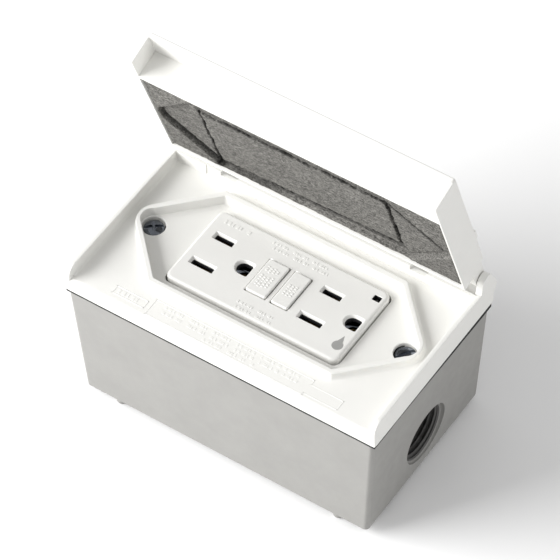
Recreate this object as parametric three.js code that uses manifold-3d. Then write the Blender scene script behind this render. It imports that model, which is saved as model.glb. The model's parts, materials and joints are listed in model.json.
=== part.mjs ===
// A ground-fault outlet in a single-gang weatherproof box with a flip-up cover.
// Millimetres, +Z out of the wall. The origin is the centre of the box's back face, +X runs along the
// box towards the open conduit hole, and the lid's hinge is on the +Y side.
import * as THREE from 'three';
import Module from 'manifold-3d';
import { mergeVertices } from 'three/addons/utils/BufferGeometryUtils.js';

const wasm = await Module();
wasm.setup();

// ---------------------------------------------------------------- driving dimensions

const GAP = 0.3;                                    // clearance between neighbouring pieces

const BOX = {
  length: 118.6, width: 69.6, height: 48.7, wall: 3, back: 3, corner: 1.6, draftX: 3.2, draftY: 0.85,
};
const FOOT = { x: 43.4, y: 31.2, radius: 2, height: 2.5 };
const CONDUIT = {
  z: 16, radius: 10.2, mouthRadius: 11.4, mouthDepth: 1.6, bossRadius: 14.5, bossDepth: 3.5,
};
const LUG = { x0: 37.6, halfWidth: 5, height: 9, top: 48.2 };
const GROUND_BOSS = { x: -34, y: 18, radius: 4, height: 4 };
const GASKET = { length: 119.6, width: 69.9, thickness: 0.8, innerLength: 108, innerWidth: 61 };

const COVER = {
  halfLength: 60, front: -35, back: 36, floor: 55, wallTop: 59.8, wall: 1.8, frontRound: 4, hubBottom: 50.3,
};
const RECESS = {
  floor: 53.4, rimTop: 57.3, flat: 34.6, half: 20.6, apex: 55.0, rimWidth: 2.2, apexRadius: 5,
};
const BACK_WALL = { front: 26.4, thickness: 1.5, ledgeTop: 56.6, notch: [33.8, 40.4], groove: [45.5, 46.5] };
const HINGE = { y: 32, z: 63.2, earRadius: 2.9, knuckleRadius: 2.7, pinRadius: 1.5, openDegrees: 72.2 };
const EAR_BASE = { y: 33.6, z: 57.4, radius: 4.2 };
const LID = {
  halfLength: 57.2, front: -35, back: 24.5, top: 67.6, plate: 2, wall: 1.25, rim: 55.4,
  skirtFront: -25.4, skirt: 1.3, rearWall: 1.5, rib: [4.5, 9], ribHeight: 0.7, knuckleInner: 54.4,
};
const FOAM = { rim: 55.7, hexFloor: 57.9, top: 65.3, margin: 0.4 };

const COVER_SCREW_X = 49.2;                         // 98.4 mm apart
const DEVICE_SCREW_X = 41.65;                       // 83.3 mm apart
const SCREW = { shank: 1.7, head: 3.7, hole: 1.95 };

const FACE = {
  length: 66.8, width: 33.3, corner: 2.5, bottom: 49.7, edge: 54.6, top: 55.4, skin: 2.8, wall: 2,
};
const OUTLETS = [{ name: 'left', x: -25.3 }, { name: 'right', x: 16.9 }];
const SLOT_Y = 6.35;                                // half the distance between the two slots
const GROUND_X = 11.9;                              // slots' centre to the ground hole's centre
const SLOT = { neutral: 8.2, hot: 6.8, width: 2, funnel: 1.6, funnelDepth: 1.2 };
const GROUND = { radius: 2.45, funnel: 0.65 };
const RESET = { x0: -8.2, x1: 0.2 };
const TEST = { x0: 1.7, x1: 8.7 };
const BUTTON = { halfLength: 7.7, top: 56.0, bottom: 47.2, clear: 0.3, flange: 0.6 };
const LAMP = { x: 30.3, y: 12.4, length: 2.4, width: 1.8, radius: 1.4, bottom: 43.2 };

const STRAP = { bottom: 48.3, top: 49.5, halfLength: 46.2, earHalf: 9.5, bodyHalf: 12.6, bodyLength: 36 };
const BODY = { halfLength: 33.6, halfWidth: 20.4, rear: 20, split: 37.2, top: 48, wall: 1.8 };
const TERMINAL = { x: 15, z: 42.5, head: 3.4, shank: 1.6 };
const HOUSING_SCREW = { x: 25, y: 14.4, radius: 1.2, boss: 2.5 };
const BOARD = { halfLength: 26.6, halfWidth: 18, bottom: 24, top: 25.6 };
const COIL = { x0: -27, x1: -13.5, z: 31.4, bore: 1.9, core: 2.8, radius: 4.4, flange: 4.9 };
const PLUNGER_TRAVEL = 1.5;
const CARRIAGE = { z0: 29.5, z1: 33.5 };
const TOROID = { x: 17, inner: 4.2, outer: 8.6, height: 4.6 };

// ---------------------------------------------------------------- solids

const X = new THREE.Vector3(1, 0, 0);
const Y = new THREE.Vector3(0, 1, 0);
const Z = new THREE.Vector3(0, 0, 1);

function solid(geometry) {
  const bare = geometry.index ? geometry.toNonIndexed() : geometry.clone();
  bare.deleteAttribute('normal');
  bare.deleteAttribute('uv');
  const merged = mergeVertices(bare, 1e-4);
  return new wasm.Manifold(new wasm.Mesh({
    numProp: 3,
    vertProperties: new Float32Array(merged.attributes.position.array),
    triVerts: new Uint32Array(merged.index.array),
  }));
}

function join(first, ...others) {
  return others.reduce((sum, piece) => sum.add(piece), first);
}

function cut(first, ...others) {
  return others.reduce((rest, piece) => rest.subtract(piece), first);
}

function block([x0, x1], [y0, y1], [z0, z1]) {
  const geometry = new THREE.BoxGeometry(x1 - x0, y1 - y0, z1 - z0);
  geometry.translate((x0 + x1) / 2, (y0 + y1) / 2, (z0 + z1) / 2);
  return solid(geometry);
}

// A round bar along a principal axis; centre holds the two coordinates across the axis.
function rod(axis, radius, [from, to], [first, second], sides = 20, endRadius = radius) {
  const geometry = new THREE.CylinderGeometry(endRadius, radius, to - from, sides);
  geometry.translate(0, (from + to) / 2, 0);
  if (axis === 'x') geometry.applyMatrix4(new THREE.Matrix4().makeBasis(Y, X, Z.clone().negate()));
  if (axis === 'z') geometry.applyMatrix4(new THREE.Matrix4().makeBasis(X, Z, Y.clone().negate()));
  if (axis === 'x') geometry.translate(0, first, second);
  if (axis === 'y') geometry.translate(first, 0, second);
  if (axis === 'z') geometry.translate(first, second, 0);
  return solid(geometry);
}

function tube(axis, outer, inner, span, centre, sides = 24) {
  const through = [span[0] - 1, span[1] + 1];
  return cut(rod(axis, outer, span, centre, sides), rod(axis, inner, through, centre, sides));
}

// A closed outline with a rounding radius at each corner.
function roundedOutline(corners) {
  const shape = new THREE.Shape();
  corners.forEach(([x, y, radius], i) => {
    const [beforeX, beforeY] = corners[(i + corners.length - 1) % corners.length];
    const [afterX, afterY] = corners[(i + 1) % corners.length];
    const corner = new THREE.Vector2(x, y);
    const toBefore = new THREE.Vector2(beforeX - x, beforeY - y).normalize();
    const toAfter = new THREE.Vector2(afterX - x, afterY - y).normalize();
    const halfAngle = Math.acos(toBefore.dot(toAfter)) / 2;
    const reach = radius / Math.tan(halfAngle);
    const start = corner.clone().addScaledVector(toBefore, reach);
    const end = corner.clone().addScaledVector(toAfter, reach);
    if (i === 0) shape.moveTo(start.x, start.y);
    else shape.lineTo(start.x, start.y);
    if (radius > 0) shape.quadraticCurveTo(x, y, end.x, end.y);
  });
  shape.closePath();
  return shape;
}

function rectangle(length, width, radius, [cx, cy] = [0, 0]) {
  const [a, b] = [length / 2, width / 2];
  return roundedOutline([
    [cx + a, cy - b, radius], [cx + a, cy + b, radius], [cx - a, cy + b, radius], [cx - a, cy - b, radius],
  ]);
}

// The elongated hexagon of the cover's recess, grown outwards by a margin.
function hexagon(margin) {
  const { flat, half, apex, apexRadius } = RECESS;
  const radius = apexRadius + margin;
  const [a, b, tip] = [flat + margin * 0.45, half + margin, apex + margin * 1.2];
  return roundedOutline([
    [tip, 0, radius], [a, b, 1.2], [-a, b, 1.2], [-tip, 0, radius], [-a, -b, 1.2], [a, -b, 1.2],
  ]);
}

function prism(shape, [z0, z1], curveSegments = 3) {
  const geometry = new THREE.ExtrudeGeometry(shape, { depth: z1 - z0, bevelEnabled: false, curveSegments });
  geometry.translate(0, 0, z0);
  return solid(geometry);
}

// A prism whose outline lies in the YZ plane.
function prismAlongX(shape, [x0, x1], curveSegments = 6) {
  const geometry = new THREE.ExtrudeGeometry(shape, { depth: x1 - x0, bevelEnabled: false, curveSegments });
  geometry.applyMatrix4(new THREE.Matrix4().makeBasis(Y, Z, X));
  geometry.translate(x0, 0, 0);
  return solid(geometry);
}

// A prism that narrows towards its lower end by the draft of a casting.
function draftedPrism(shape, [z0, z1], scaleX, scaleY) {
  const geometry = new THREE.ExtrudeGeometry(shape, {
    depth: z1 - z0, bevelEnabled: false, curveSegments: 3,
  });
  const position = geometry.attributes.position;
  for (let i = 0; i < position.count; i += 1) {
    const t = position.getZ(i) / (z1 - z0);
    position.setX(i, position.getX(i) * THREE.MathUtils.lerp(scaleX, 1, t));
    position.setY(i, position.getY(i) * THREE.MathUtils.lerp(scaleY, 1, t));
  }
  geometry.translate(0, 0, z0);
  return solid(geometry);
}

function coil(radius, wire, turns, [from, to], axisPoint) {
  const stepsPerTurn = 10;
  class Helix extends THREE.Curve {
    getPoint(t, target = new THREE.Vector3()) {
      const angle = t * turns * Math.PI * 2;
      return target.set(radius * Math.cos(angle), radius * Math.sin(angle), from + (to - from) * t);
    }
  }
  const section = new THREE.Shape().absarc(0, 0, wire, 0, Math.PI * 2);
  const geometry = new THREE.ExtrudeGeometry(section, {
    steps: Math.round(turns * stepsPerTurn), bevelEnabled: false, extrudePath: new Helix(), curveSegments: 3,
  });
  geometry.translate(...axisPoint);
  return solid(geometry);
}

// A span on one side of the XZ plane, in rising order.
function sideways(sign, from, to) {
  return [sign * from, sign * to].sort((a, b) => a - b);
}

const mirrored = (piece) => piece.mirror([1, 0, 0]);
const mirroredY = (piece) => piece.mirror([0, 1, 0]);

// ---------------------------------------------------------------- materials and assembly

const FINISH = {
  casting: [0xa9a8a4, 0.55, 0.15],
  white: [0xf4f3ee, 0.42, 0],
  face: [0xe6e6e3, 0.38, 0],
  button: [0xededea, 0.36, 0],
  foam: [0x8b8782, 0.95, 0],
  gasket: [0x1d1d1c, 0.85, 0],
  steel: [0xb4b7ba, 0.3, 0.9],
  brass: [0xc9a050, 0.32, 0.9],
  green: [0x2f7d4a, 0.4, 0.5],
  insulator: [0x3a3d42, 0.6, 0],
  board: [0x2c6b3f, 0.55, 0],
  copper: [0xb66a35, 0.4, 0.85],
  component: [0x2b2b2d, 0.5, 0],
  lamp: [0x9fd8a4, 0.2, 0],
};

const outlet = new THREE.Group();
const lidGroup = new THREE.Group();
outlet.add(lidGroup);

function place(name, finish, piece, group = outlet) {
  const mesh = piece.getMesh();
  const geometry = new THREE.BufferGeometry();
  geometry.setAttribute('position', new THREE.BufferAttribute(new Float32Array(mesh.vertProperties), 3));
  geometry.setIndex(new THREE.BufferAttribute(new Uint32Array(mesh.triVerts), 1));
  geometry.computeVertexNormals();
  const [color, roughness, metalness] = FINISH[finish];
  const part = new THREE.Mesh(geometry, new THREE.MeshStandardMaterial({ color, roughness, metalness }));
  part.name = name;
  group.add(part);
  return part;
}

// ---------------------------------------------------------------- box

const coverBottom = BOX.height + GASKET.thickness;
const endFace = BOX.length / 2 - BOX.draftX * (1 - CONDUIT.z / BOX.height);

function makeBox() {
  const scale = (size, draft) => (size - 2 * draft) / size;
  const outside = draftedPrism(
    rectangle(BOX.length, BOX.width, BOX.corner), [0, BOX.height],
    scale(BOX.length, BOX.draftX), scale(BOX.width, BOX.draftY),
  );
  const innerLength = BOX.length - 2 * BOX.wall;
  const innerWidth = BOX.width - 2 * BOX.wall;
  const inside = draftedPrism(
    rectangle(innerLength, innerWidth, BOX.corner), [BOX.back, BOX.height + 1],
    scale(innerLength, BOX.draftX), scale(innerWidth, BOX.draftY),
  );
  const lug = cut(
    block([LUG.x0, BOX.length / 2 - 1.5], [-LUG.halfWidth, LUG.halfWidth], [LUG.top - LUG.height, LUG.top]),
    rod('z', SCREW.hole, [0, 60], [DEVICE_SCREW_X, 0], 12),
    rod('z', SCREW.hole, [0, 60], [COVER_SCREW_X, 0], 12),
  );
  const innerEnd = endFace - BOX.wall;
  const boss = rod('x', CONDUIT.bossRadius, [innerEnd - CONDUIT.bossDepth, innerEnd + 1], [0, CONDUIT.z], 28);
  const bore = rod('x', CONDUIT.radius, [innerEnd - CONDUIT.bossDepth - 1, endFace + 2], [0, CONDUIT.z], 28);
  const mouth = rod('x', CONDUIT.mouthRadius, [endFace - CONDUIT.mouthDepth, endFace + 2], [0, CONDUIT.z], 28);
  const feet = [];
  for (const x of [-FOOT.x, FOOT.x]) {
    for (const y of [-FOOT.y, FOOT.y]) feet.push(rod('z', FOOT.radius, [-FOOT.height, 1], [x, y], 12));
  }
  const bossCentre = [GROUND_BOSS.x, GROUND_BOSS.y];
  const groundBoss = cut(
    rod('z', GROUND_BOSS.radius, [BOX.back - 0.5, BOX.back + GROUND_BOSS.height], bossCentre, 16),
    rod('z', SCREW.hole, [BOX.back + 0.8, BOX.height], bossCentre, 16),
  );
  const hollow = cut(outside, inside);
  const filled = join(hollow, lug, mirrored(lug), boss, mirrored(boss), groundBoss, ...feet);
  return cut(filled, bore, mirrored(bore), mouth, mirrored(mouth));
}

function makeClosurePlug() {
  const seat = CONDUIT.mouthDepth - endFace;
  const centre = [0, CONDUIT.z];
  const flange = rod('x', CONDUIT.mouthRadius - GAP, [seat - 1.3, seat - GAP / 2], centre, 28);
  const body = rod('x', CONDUIT.radius - GAP, [seat - 1, seat + 6], centre, 28);
  const slot = block([seat - 2, seat - 0.4], [-7, 7], [CONDUIT.z - 1, CONDUIT.z + 1]);
  const hollow = rod('x', CONDUIT.radius - 2.6, [seat + 1.4, seat + 8], centre, 28);
  return cut(join(flange, body), slot, hollow);
}

function makeGasket() {
  const span = [BOX.height + 0.02, coverBottom - 0.02];
  return cut(
    prism(rectangle(GASKET.length, GASKET.width, 1.5), span),
    prism(rectangle(GASKET.innerLength, GASKET.innerWidth, 2), [span[0] - 1, span[1] + 1]),
  );
}

// A slotted round-headed screw along Z, its head's underside at z.
function makeScrew(z, [x, y], { head = SCREW.head, headHeight = 1.6, shank = SCREW.shank, length = 12 } = {}) {
  const crown = new THREE.LatheGeometry([
    new THREE.Vector2(0, 0), new THREE.Vector2(head * 0.82, 0), new THREE.Vector2(head, headHeight * 0.35),
    new THREE.Vector2(head * 0.86, headHeight * 0.75), new THREE.Vector2(head * 0.5, headHeight * 0.96),
    new THREE.Vector2(0, headHeight),
  ], 14);
  crown.rotateX(Math.PI / 2);
  crown.translate(x, y, z);
  const slotSpan = [z + headHeight * 0.45, z + headHeight + 1];
  const slot = block([x - head - 1, x + head + 1], [y - 0.5, y + 0.5], slotSpan);
  return join(cut(solid(crown), slot), rod('z', shank, [z - length, z + 0.2], [x, y], 10));
}

place('box_body', 'casting', makeBox());
place('closure_plug', 'casting', makeClosurePlug());
place('box_gasket', 'gasket', makeGasket());
place('box_ground_screw', 'green', makeScrew(
  BOX.back + GROUND_BOSS.height + 0.15, [GROUND_BOSS.x, GROUND_BOSS.y], { head: 3.4, headHeight: 2, length: 2.9 },
));

// ---------------------------------------------------------------- cover

function makeCover() {
  const { halfLength, front, back, floor, wallTop, wall, frontRound, hubBottom } = COVER;
  const width = back - front;
  const centreY = (front + back) / 2;
  const base = prism(rectangle(2 * halfLength, width, 1.2, [0, centreY]), [coverBottom, floor]);
  const side = prismAlongX(roundedOutline([
    [front, coverBottom, 0], [back, coverBottom, 0], [back, wallTop, 0], [front, wallTop, frontRound],
  ]), [halfLength - wall, halfLength]);
  const wallBack = BACK_WALL.front + BACK_WALL.thickness;
  const acrossBack = [-halfLength + 0.5, halfLength - 0.5];
  const backWall = block(acrossBack, [BACK_WALL.front, wallBack], [floor - 1, wallTop]);
  const ledge = block(acrossBack, [wallBack - 0.1, back], [floor - 1, BACK_WALL.ledgeTop]);
  const earSpan = [halfLength - wall, halfLength];
  const ear = join(
    wasm.Manifold.hull([
      rod('x', HINGE.earRadius, earSpan, [HINGE.y, HINGE.z], 24),
      rod('x', EAR_BASE.radius, earSpan, [EAR_BASE.y, EAR_BASE.z], 24),
    ]),
    block(earSpan, [BACK_WALL.front, back], [coverBottom + 3, EAR_BASE.z]),
  );
  const rim = prism(hexagon(RECESS.rimWidth), [floor - 1, RECESS.rimTop], 5);
  const recess = prism(hexagon(0), [RECESS.floor, RECESS.rimTop + 1], 5);
  const opening = prism(
    rectangle(FACE.length + 1, FACE.width + 1, FACE.corner), [coverBottom - 1, floor + 1],
  );
  const screwWay = join(
    rod('z', SCREW.hole + 0.25, [40, 60], [COVER_SCREW_X, 0], 12),
    rod('z', SCREW.head + 0.4, [RECESS.floor - 1.9, 60], [COVER_SCREW_X, 0], 20),
  );
  const headPocket = block([36.4, 46.8], [-10, 10], [coverBottom - 1, hubBottom + 1.6]);
  const underside = cut(
    prism(rectangle(GASKET.innerLength, GASKET.innerWidth, 2), [coverBottom - 1, hubBottom + 2]),
    prism(hexagon(RECESS.rimWidth), [hubBottom, hubBottom + 3], 2),
  );
  const pinHole = rod('x', HINGE.pinRadius + 0.15, [-70, 70], [HINGE.y, HINGE.z], 20);
  const tabNotch = block(
    BACK_WALL.notch, [BACK_WALL.front - 1, wallBack + 0.05], [wallTop - 1.5, wallTop + 1],
  );
  const wallGroove = block(
    BACK_WALL.groove, [BACK_WALL.front - 1, BACK_WALL.front + 0.7], [floor, wallTop + 1],
  );
  const walls = join(base, side, mirrored(side), backWall, ledge, ear, mirrored(ear), rim);
  const paired = [screwWay, headPocket, tabNotch, wallGroove];
  return cut(walls, recess, opening, underside, pinHole, ...paired, ...paired.map(mirrored));
}

function makeHingePin() {
  const inner = LID.knuckleInner - 0.6;
  return rod('x', HINGE.pinRadius, [inner, COVER.halfLength - 0.1], [HINGE.y, HINGE.z], 20);
}

place('cover_base', 'white', makeCover());
place('hinge_pin_right', 'white', makeHingePin());
place('hinge_pin_left', 'white', mirrored(makeHingePin()));
for (const [side, x] of [['left', -COVER_SCREW_X], ['right', COVER_SCREW_X]]) {
  place(`cover_screw_${side}`, 'steel', makeScrew(RECESS.floor - 1.75, [x, 0], { length: 11 }));
}

// ---------------------------------------------------------------- lid, drawn closed and then swung open

function makeLid() {
  const { halfLength, front, back, top, plate, wall, rim, skirtFront, skirt, rearWall } = LID;
  const underPlate = top - plate;
  const inner = halfLength - wall;
  const panel = block([-halfLength, halfLength], [front, back], [underPlate, top]);
  const rib = block([-halfLength, halfLength], LID.rib, [top - 0.2, top + LID.ribHeight]);
  const endWall = block([inner, halfLength], [front + 0.6, back], [rim, underPlate + 0.1]);
  const deep = [rim, underPlate + 0.1];
  const frontSkirt = block([-inner - 0.1, inner + 0.1], [skirtFront, skirtFront + skirt], deep);
  const rear = block([-halfLength, halfLength], [back - 0.1, back - 0.1 + rearWall], deep);
  const arm = join(
    block([LID.knuckleInner, halfLength], [back - 0.1, HINGE.y], [COVER.wallTop + 0.6, underPlate]),
    rod('x', HINGE.knuckleRadius, [LID.knuckleInner, halfLength], [HINGE.y, HINGE.z], 24),
  );
  const pinHole = rod('x', HINGE.pinRadius + 0.15, [-70, 70], [HINGE.y, HINGE.z], 20);
  return cut(join(panel, rib, endWall, mirrored(endWall), frontSkirt, rear, arm, mirrored(arm)), pinHole);
}

// The pad fills the lid and is hollowed where the closed lid presses it on the hexagonal rim.
function makeFoam() {
  const { rim, hexFloor, top, margin } = FOAM;
  const half = LID.halfLength - LID.wall - margin;
  const span = [LID.skirtFront + LID.skirt + margin, LID.back - 0.1 - margin];
  const pad = block([-half, half], span, [rim, top]);
  const pressed = prism(hexagon(RECESS.rimWidth + 0.6), [rim - 1, hexFloor], 3);
  return cut(pad, pressed);
}

place('lid', 'white', makeLid(), lidGroup);
place('lid_foam_pad', 'foam', makeFoam(), lidGroup);

function swingOpen(group) {
  const swing = new THREE.Matrix4().makeTranslation(0, HINGE.y, HINGE.z)
    .multiply(new THREE.Matrix4().makeRotationX(-THREE.MathUtils.degToRad(HINGE.openDegrees)))
    .multiply(new THREE.Matrix4().makeTranslation(0, -HINGE.y, -HINGE.z));
  swing.decompose(group.position, group.quaternion, group.scale);
}

swingOpen(lidGroup);

// ---------------------------------------------------------------- device face and buttons

function groundOutline(radius, x) {
  const shape = new THREE.Shape();
  shape.moveTo(x + radius, -radius);
  shape.lineTo(x + radius, radius);
  shape.lineTo(x, radius);
  shape.absarc(x, 0, radius, Math.PI / 2, Math.PI * 1.5, false);
  shape.closePath();
  return shape;
}

function slotCut(x, y, length) {
  const { width, funnel, funnelDepth } = SLOT;
  const around = (centre, size) => [centre - size / 2, centre + size / 2];
  return join(
    block(around(x, length), around(y, width), [FACE.bottom, 60]),
    block(around(x, length + funnel), around(y, width + funnel), [FACE.top - funnelDepth, 60]),
  );
}

function makeFace() {
  const { length, width, corner, bottom, edge, top, skin, wall } = FACE;
  const inset = 1.4;
  let face = join(
    prism(rectangle(length, width, corner), [bottom, edge]),
    prism(rectangle(length - inset, width - inset, corner - inset / 2), [edge - 0.1, top]),
  );
  face = cut(face, prism(rectangle(length - 2 * wall, width - 2 * wall, 1), [bottom - 1, top - skin]));
  for (const x of [-HOUSING_SCREW.x, HOUSING_SCREW.x]) {
    for (const y of [-HOUSING_SCREW.y, HOUSING_SCREW.y]) {
      const boss = rod('z', 2.2, [bottom, top - skin + 0.2], [x, y], 16);
      const hole = rod('z', HOUSING_SCREW.radius + 0.15, [bottom - 1, bottom + 2.6], [x, y], 12);
      face = cut(join(face, boss), hole);
    }
  }
  for (const { x } of OUTLETS) {
    face = cut(face, slotCut(x, -SLOT_Y, SLOT.neutral), slotCut(x, SLOT_Y, SLOT.hot));
    const pin = x + GROUND_X;
    face = cut(
      face,
      prism(groundOutline(GROUND.radius, pin), [bottom - 1, 60], 8),
      prism(groundOutline(GROUND.radius + GROUND.funnel, pin), [top - SLOT.funnelDepth, 60], 8),
    );
  }
  for (const { x0, x1 } of [RESET, TEST]) {
    face = cut(face, block([x0, x1], [-BUTTON.halfLength, BUTTON.halfLength], [bottom - 1, 60]));
  }
  const lampX = [LAMP.x - LAMP.length / 2, LAMP.x + LAMP.length / 2];
  return cut(face, block(lampX, [LAMP.y - LAMP.width / 2, LAMP.y + LAMP.width / 2], [bottom - 1, 60]));
}

function makeButton({ x0, x1 }) {
  const { halfLength, top, bottom, clear, flange } = BUTTON;
  const length = 2 * (halfLength - clear);
  const centre = (x0 + x1) / 2;
  const capWidth = x1 - x0 - 2 * clear;
  const crown = prism(rectangle(capWidth - 0.8, length - 0.8, 0.6, [centre, 0]), [top - 0.4, top]);
  const cap = prism(rectangle(capWidth, length, 0.5, [centre, 0]), [bottom + 2.4, top - 0.3]);
  const underFace = FACE.top - FACE.skin - GAP;
  const side = (x) => block(x, [-halfLength - flange, halfLength + flange], [underFace - 1.2, underFace]);
  const post = block([centre - 2.4, centre + 2.4], [-4.5, 4.5], [bottom, bottom + 2.5]);
  return join(cap, crown, side([x0 + clear, x1 - clear]), post);
}

place('device_face', 'face', makeFace());

const resetX = (RESET.x0 + RESET.x1) / 2;
const testX = (TEST.x0 + TEST.x1) / 2;
const LATCH_PIN = { radius: 1.2, bottom: 29.8, shoulder: 1.7 };

place('reset_button', 'button', makeButton(RESET));
place('reset_latch_pin', 'steel', join(
  rod('z', LATCH_PIN.radius, [LATCH_PIN.bottom, BUTTON.bottom - 0.05], [resetX, 0], 14),
  rod(
    'z', LATCH_PIN.radius * 0.5, [LATCH_PIN.bottom - 0.8, LATCH_PIN.bottom + 0.1], [resetX, 0], 14,
    LATCH_PIN.radius,
  ),
  rod('z', LATCH_PIN.shoulder, [BUTTON.bottom - 1.6, BUTTON.bottom - 0.05], [resetX, 0], 14),
));
place('test_button', 'button', makeButton(TEST));

// ---------------------------------------------------------------- strap and ground contacts

function makeStrap() {
  const { bottom, top, halfLength, earHalf, bodyHalf, bodyLength } = STRAP;
  const span = [bottom, top];
  const ears = prism(rectangle(2 * halfLength, 2 * earHalf, 2.5), span);
  const middle = prism(rectangle(2 * bodyLength, 2 * bodyHalf, 1), span);
  const tab = block([-35.4, -34.3], [6, 12], [38.6, top]);
  let strap = join(ears, middle, tab);
  for (const x of [-DEVICE_SCREW_X, DEVICE_SCREW_X]) {
    const slot = join(
      rod('z', 2.1, [40, 60], [x - 0.8, 0], 16), rod('z', 2.1, [40, 60], [x + 0.8, 0], 16),
      block([x - 0.8, x + 0.8], [-2.1, 2.1], [40, 60]),
    );
    strap = cut(strap, slot);
  }
  for (const { x } of OUTLETS) {
    for (const y of [-SLOT_Y, SLOT_Y]) strap = cut(strap, block([x - 6, x + 6], [y - 3, y + 3], [40, 60]));
    strap = cut(strap, prism(groundOutline(GROUND.radius + 0.25, x + GROUND_X), [bottom - 1, top + 1], 6));
  }
  strap = cut(strap, block([RESET.x0 - 0.9, TEST.x1 + 0.9], [-9.6, 9.6], [40, 60]));
  strap = cut(strap, block([LAMP.x - 2, LAMP.x + 2], [LAMP.y - 1.8, LAMP.y + 3], [40, 60]));
  return cut(strap, rod('x', TERMINAL.shank + 0.15, [-38, -32], [9, TERMINAL.z], 14));
}

function makeGroundContact(x) {
  const span = [x - 2.9, x + 2.9];
  const collar = cut(
    block(span, [-3.15, 3.15], [STRAP.bottom - 1, STRAP.bottom - GAP]),
    prism(groundOutline(GROUND.radius, x), [40, 60], 6),
  );
  const finger = block([x - 1.9, x + 1.9], [GROUND.radius, 3.15], [40.6, STRAP.bottom - 0.5]);
  return join(collar, finger, mirroredY(finger));
}

place('mounting_strap', 'steel', makeStrap());
for (const [side, x] of [['left', -DEVICE_SCREW_X], ['right', DEVICE_SCREW_X]]) {
  const screw = makeScrew(STRAP.top + 0.1, [x, 0], { head: 3.2, headHeight: 1.9, length: 9 });
  place(`device_screw_${side}`, 'steel', screw);
}
for (const { name, x } of OUTLETS) place(`ground_contact_${name}`, 'brass', makeGroundContact(x + GROUND_X));

// ---------------------------------------------------------------- power contacts

// Two blade jaws joined by a bus bar that passes outside the buttons.
function makeContactStrip() {
  const [floor, jawTop, thickness, half] = [40, 51.6, 0.7, 0.82];
  const bus = block([OUTLETS[0].x - 4, OUTLETS[1].x + 4], [10.9, 11.6], [floor, floor + 5]);
  const jaws = OUTLETS.map(({ x }) => join(
    block([x - 4, x + 4], [SLOT_Y - half - thickness, SLOT_Y - half], [floor, jawTop]),
    block([x - 4, x + 4], [SLOT_Y + half, SLOT_Y + half + thickness], [floor, jawTop]),
    block([x - 4, x + 4], [SLOT_Y - half - thickness, 11.6], [floor, floor + thickness]),
  ));
  return join(bus, ...jaws);
}

place('hot_contact_strip', 'brass', makeContactStrip());
place('neutral_contact_strip', 'brass', mirroredY(makeContactStrip()));

// ---------------------------------------------------------------- housings

const CENTRE_WELL = { x: [RESET.x0 - 0.9, TEST.x1 + 0.7], y: [-9.4, 9.4] };

function housingScrewHoles(radius, span) {
  const holes = [];
  for (const x of [-HOUSING_SCREW.x, HOUSING_SCREW.x]) {
    for (const y of [-HOUSING_SCREW.y, HOUSING_SCREW.y]) holes.push(rod('z', radius, span, [x, y], 12));
  }
  return holes;
}

function terminalSites() {
  const sites = [];
  for (const [role, x] of [['line', -TERMINAL.x], ['load', TERMINAL.x]]) {
    for (const [pole, sign] of [['hot', 1], ['neutral', -1]]) {
      sites.push({ name: `${role}_${pole}`, pole, x, sign });
    }
  }
  return sites;
}

function makeSeparator() {
  const { halfLength, halfWidth, split, top } = BODY;
  const floor = 39.4;
  const piece = prism(rectangle(2 * halfLength, 2 * halfWidth, 1.5), [split + 0.2, top]);
  const cuts = [block(CENTRE_WELL.x, CENTRE_WELL.y, [split - 1, top + 1])];
  for (const { x } of OUTLETS) {
    const pocket = block([x - 5, x + 5], [3.9, 12.3], [floor, top + 1]);
    cuts.push(pocket, mirroredY(pocket));
    const pin = x + GROUND_X;
    cuts.push(block([pin - 3.2, pin + 3.2], [-3.45, 3.45], [floor, top + 1]));
  }
  const channel = block([OUTLETS[0].x, OUTLETS[1].x], [10.3, 12.3], [floor, top + 1]);
  cuts.push(channel, mirroredY(channel), ...housingScrewHoles(HOUSING_SCREW.radius + 0.25, [30, 60]));
  for (const { x, sign } of terminalSites()) {
    const across = sideways(sign, halfWidth - 1.9, halfWidth + 1);
    cuts.push(block([x - 5.2, x + 5.2], across, [split - 1, top + 1]));
    const bore = sideways(sign, halfWidth - 5.6, halfWidth + 1);
    cuts.push(rod('y', TERMINAL.shank + 0.2, bore, [x, TERMINAL.z], 14));
  }
  cuts.push(rod('x', TERMINAL.shank + 0.2, [-40, -halfLength + 3.4], [9, TERMINAL.z], 14));
  cuts.push(rod('z', LAMP.radius + 0.2, [LAMP.bottom - 0.2, top + 1], [LAMP.x, LAMP.y], 12));
  return cut(piece, ...cuts);
}

function makeRearHousing() {
  const { halfLength, halfWidth, rear, split, wall } = BODY;
  const shell = cut(
    prism(rectangle(2 * halfLength, 2 * halfWidth, 1.5), [rear, split]),
    prism(rectangle(2 * (halfLength - wall), 2 * (halfWidth - wall), 0.8), [rear + wall, split + 1]),
  );
  const bosses = housingScrewHoles(HOUSING_SCREW.boss, [rear + 0.5, split]);
  const posts = [];
  for (const x of [-16, 16]) {
    for (const y of [-16, 16]) posts.push(rod('z', 1.6, [rear + 0.5, BOARD.bottom - 0.1], [x, y], 12));
  }
  return cut(
    join(shell, ...bosses, ...posts),
    ...housingScrewHoles(HOUSING_SCREW.radius + 0.25, [rear - 1, split + 1]),
    ...housingScrewHoles(2.4, [rear - 1, rear + 1.6]),
  );
}

place('separator', 'insulator', makeSeparator());
place('rear_housing', 'insulator', makeRearHousing());

let screwNumber = 0;
for (const x of [-HOUSING_SCREW.x, HOUSING_SCREW.x]) {
  for (const y of [-HOUSING_SCREW.y, HOUSING_SCREW.y]) {
    screwNumber += 1;
    place(`housing_screw_${screwNumber}`, 'steel', join(
      rod('z', 2.1, [BODY.rear + 0.1, BODY.rear + 1.4], [x, y], 12),
      rod('z', HOUSING_SCREW.radius, [BODY.rear + 1.3, FACE.bottom + 2.2], [x, y], 8),
    ));
  }
}

// ---------------------------------------------------------------- terminals

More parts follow.
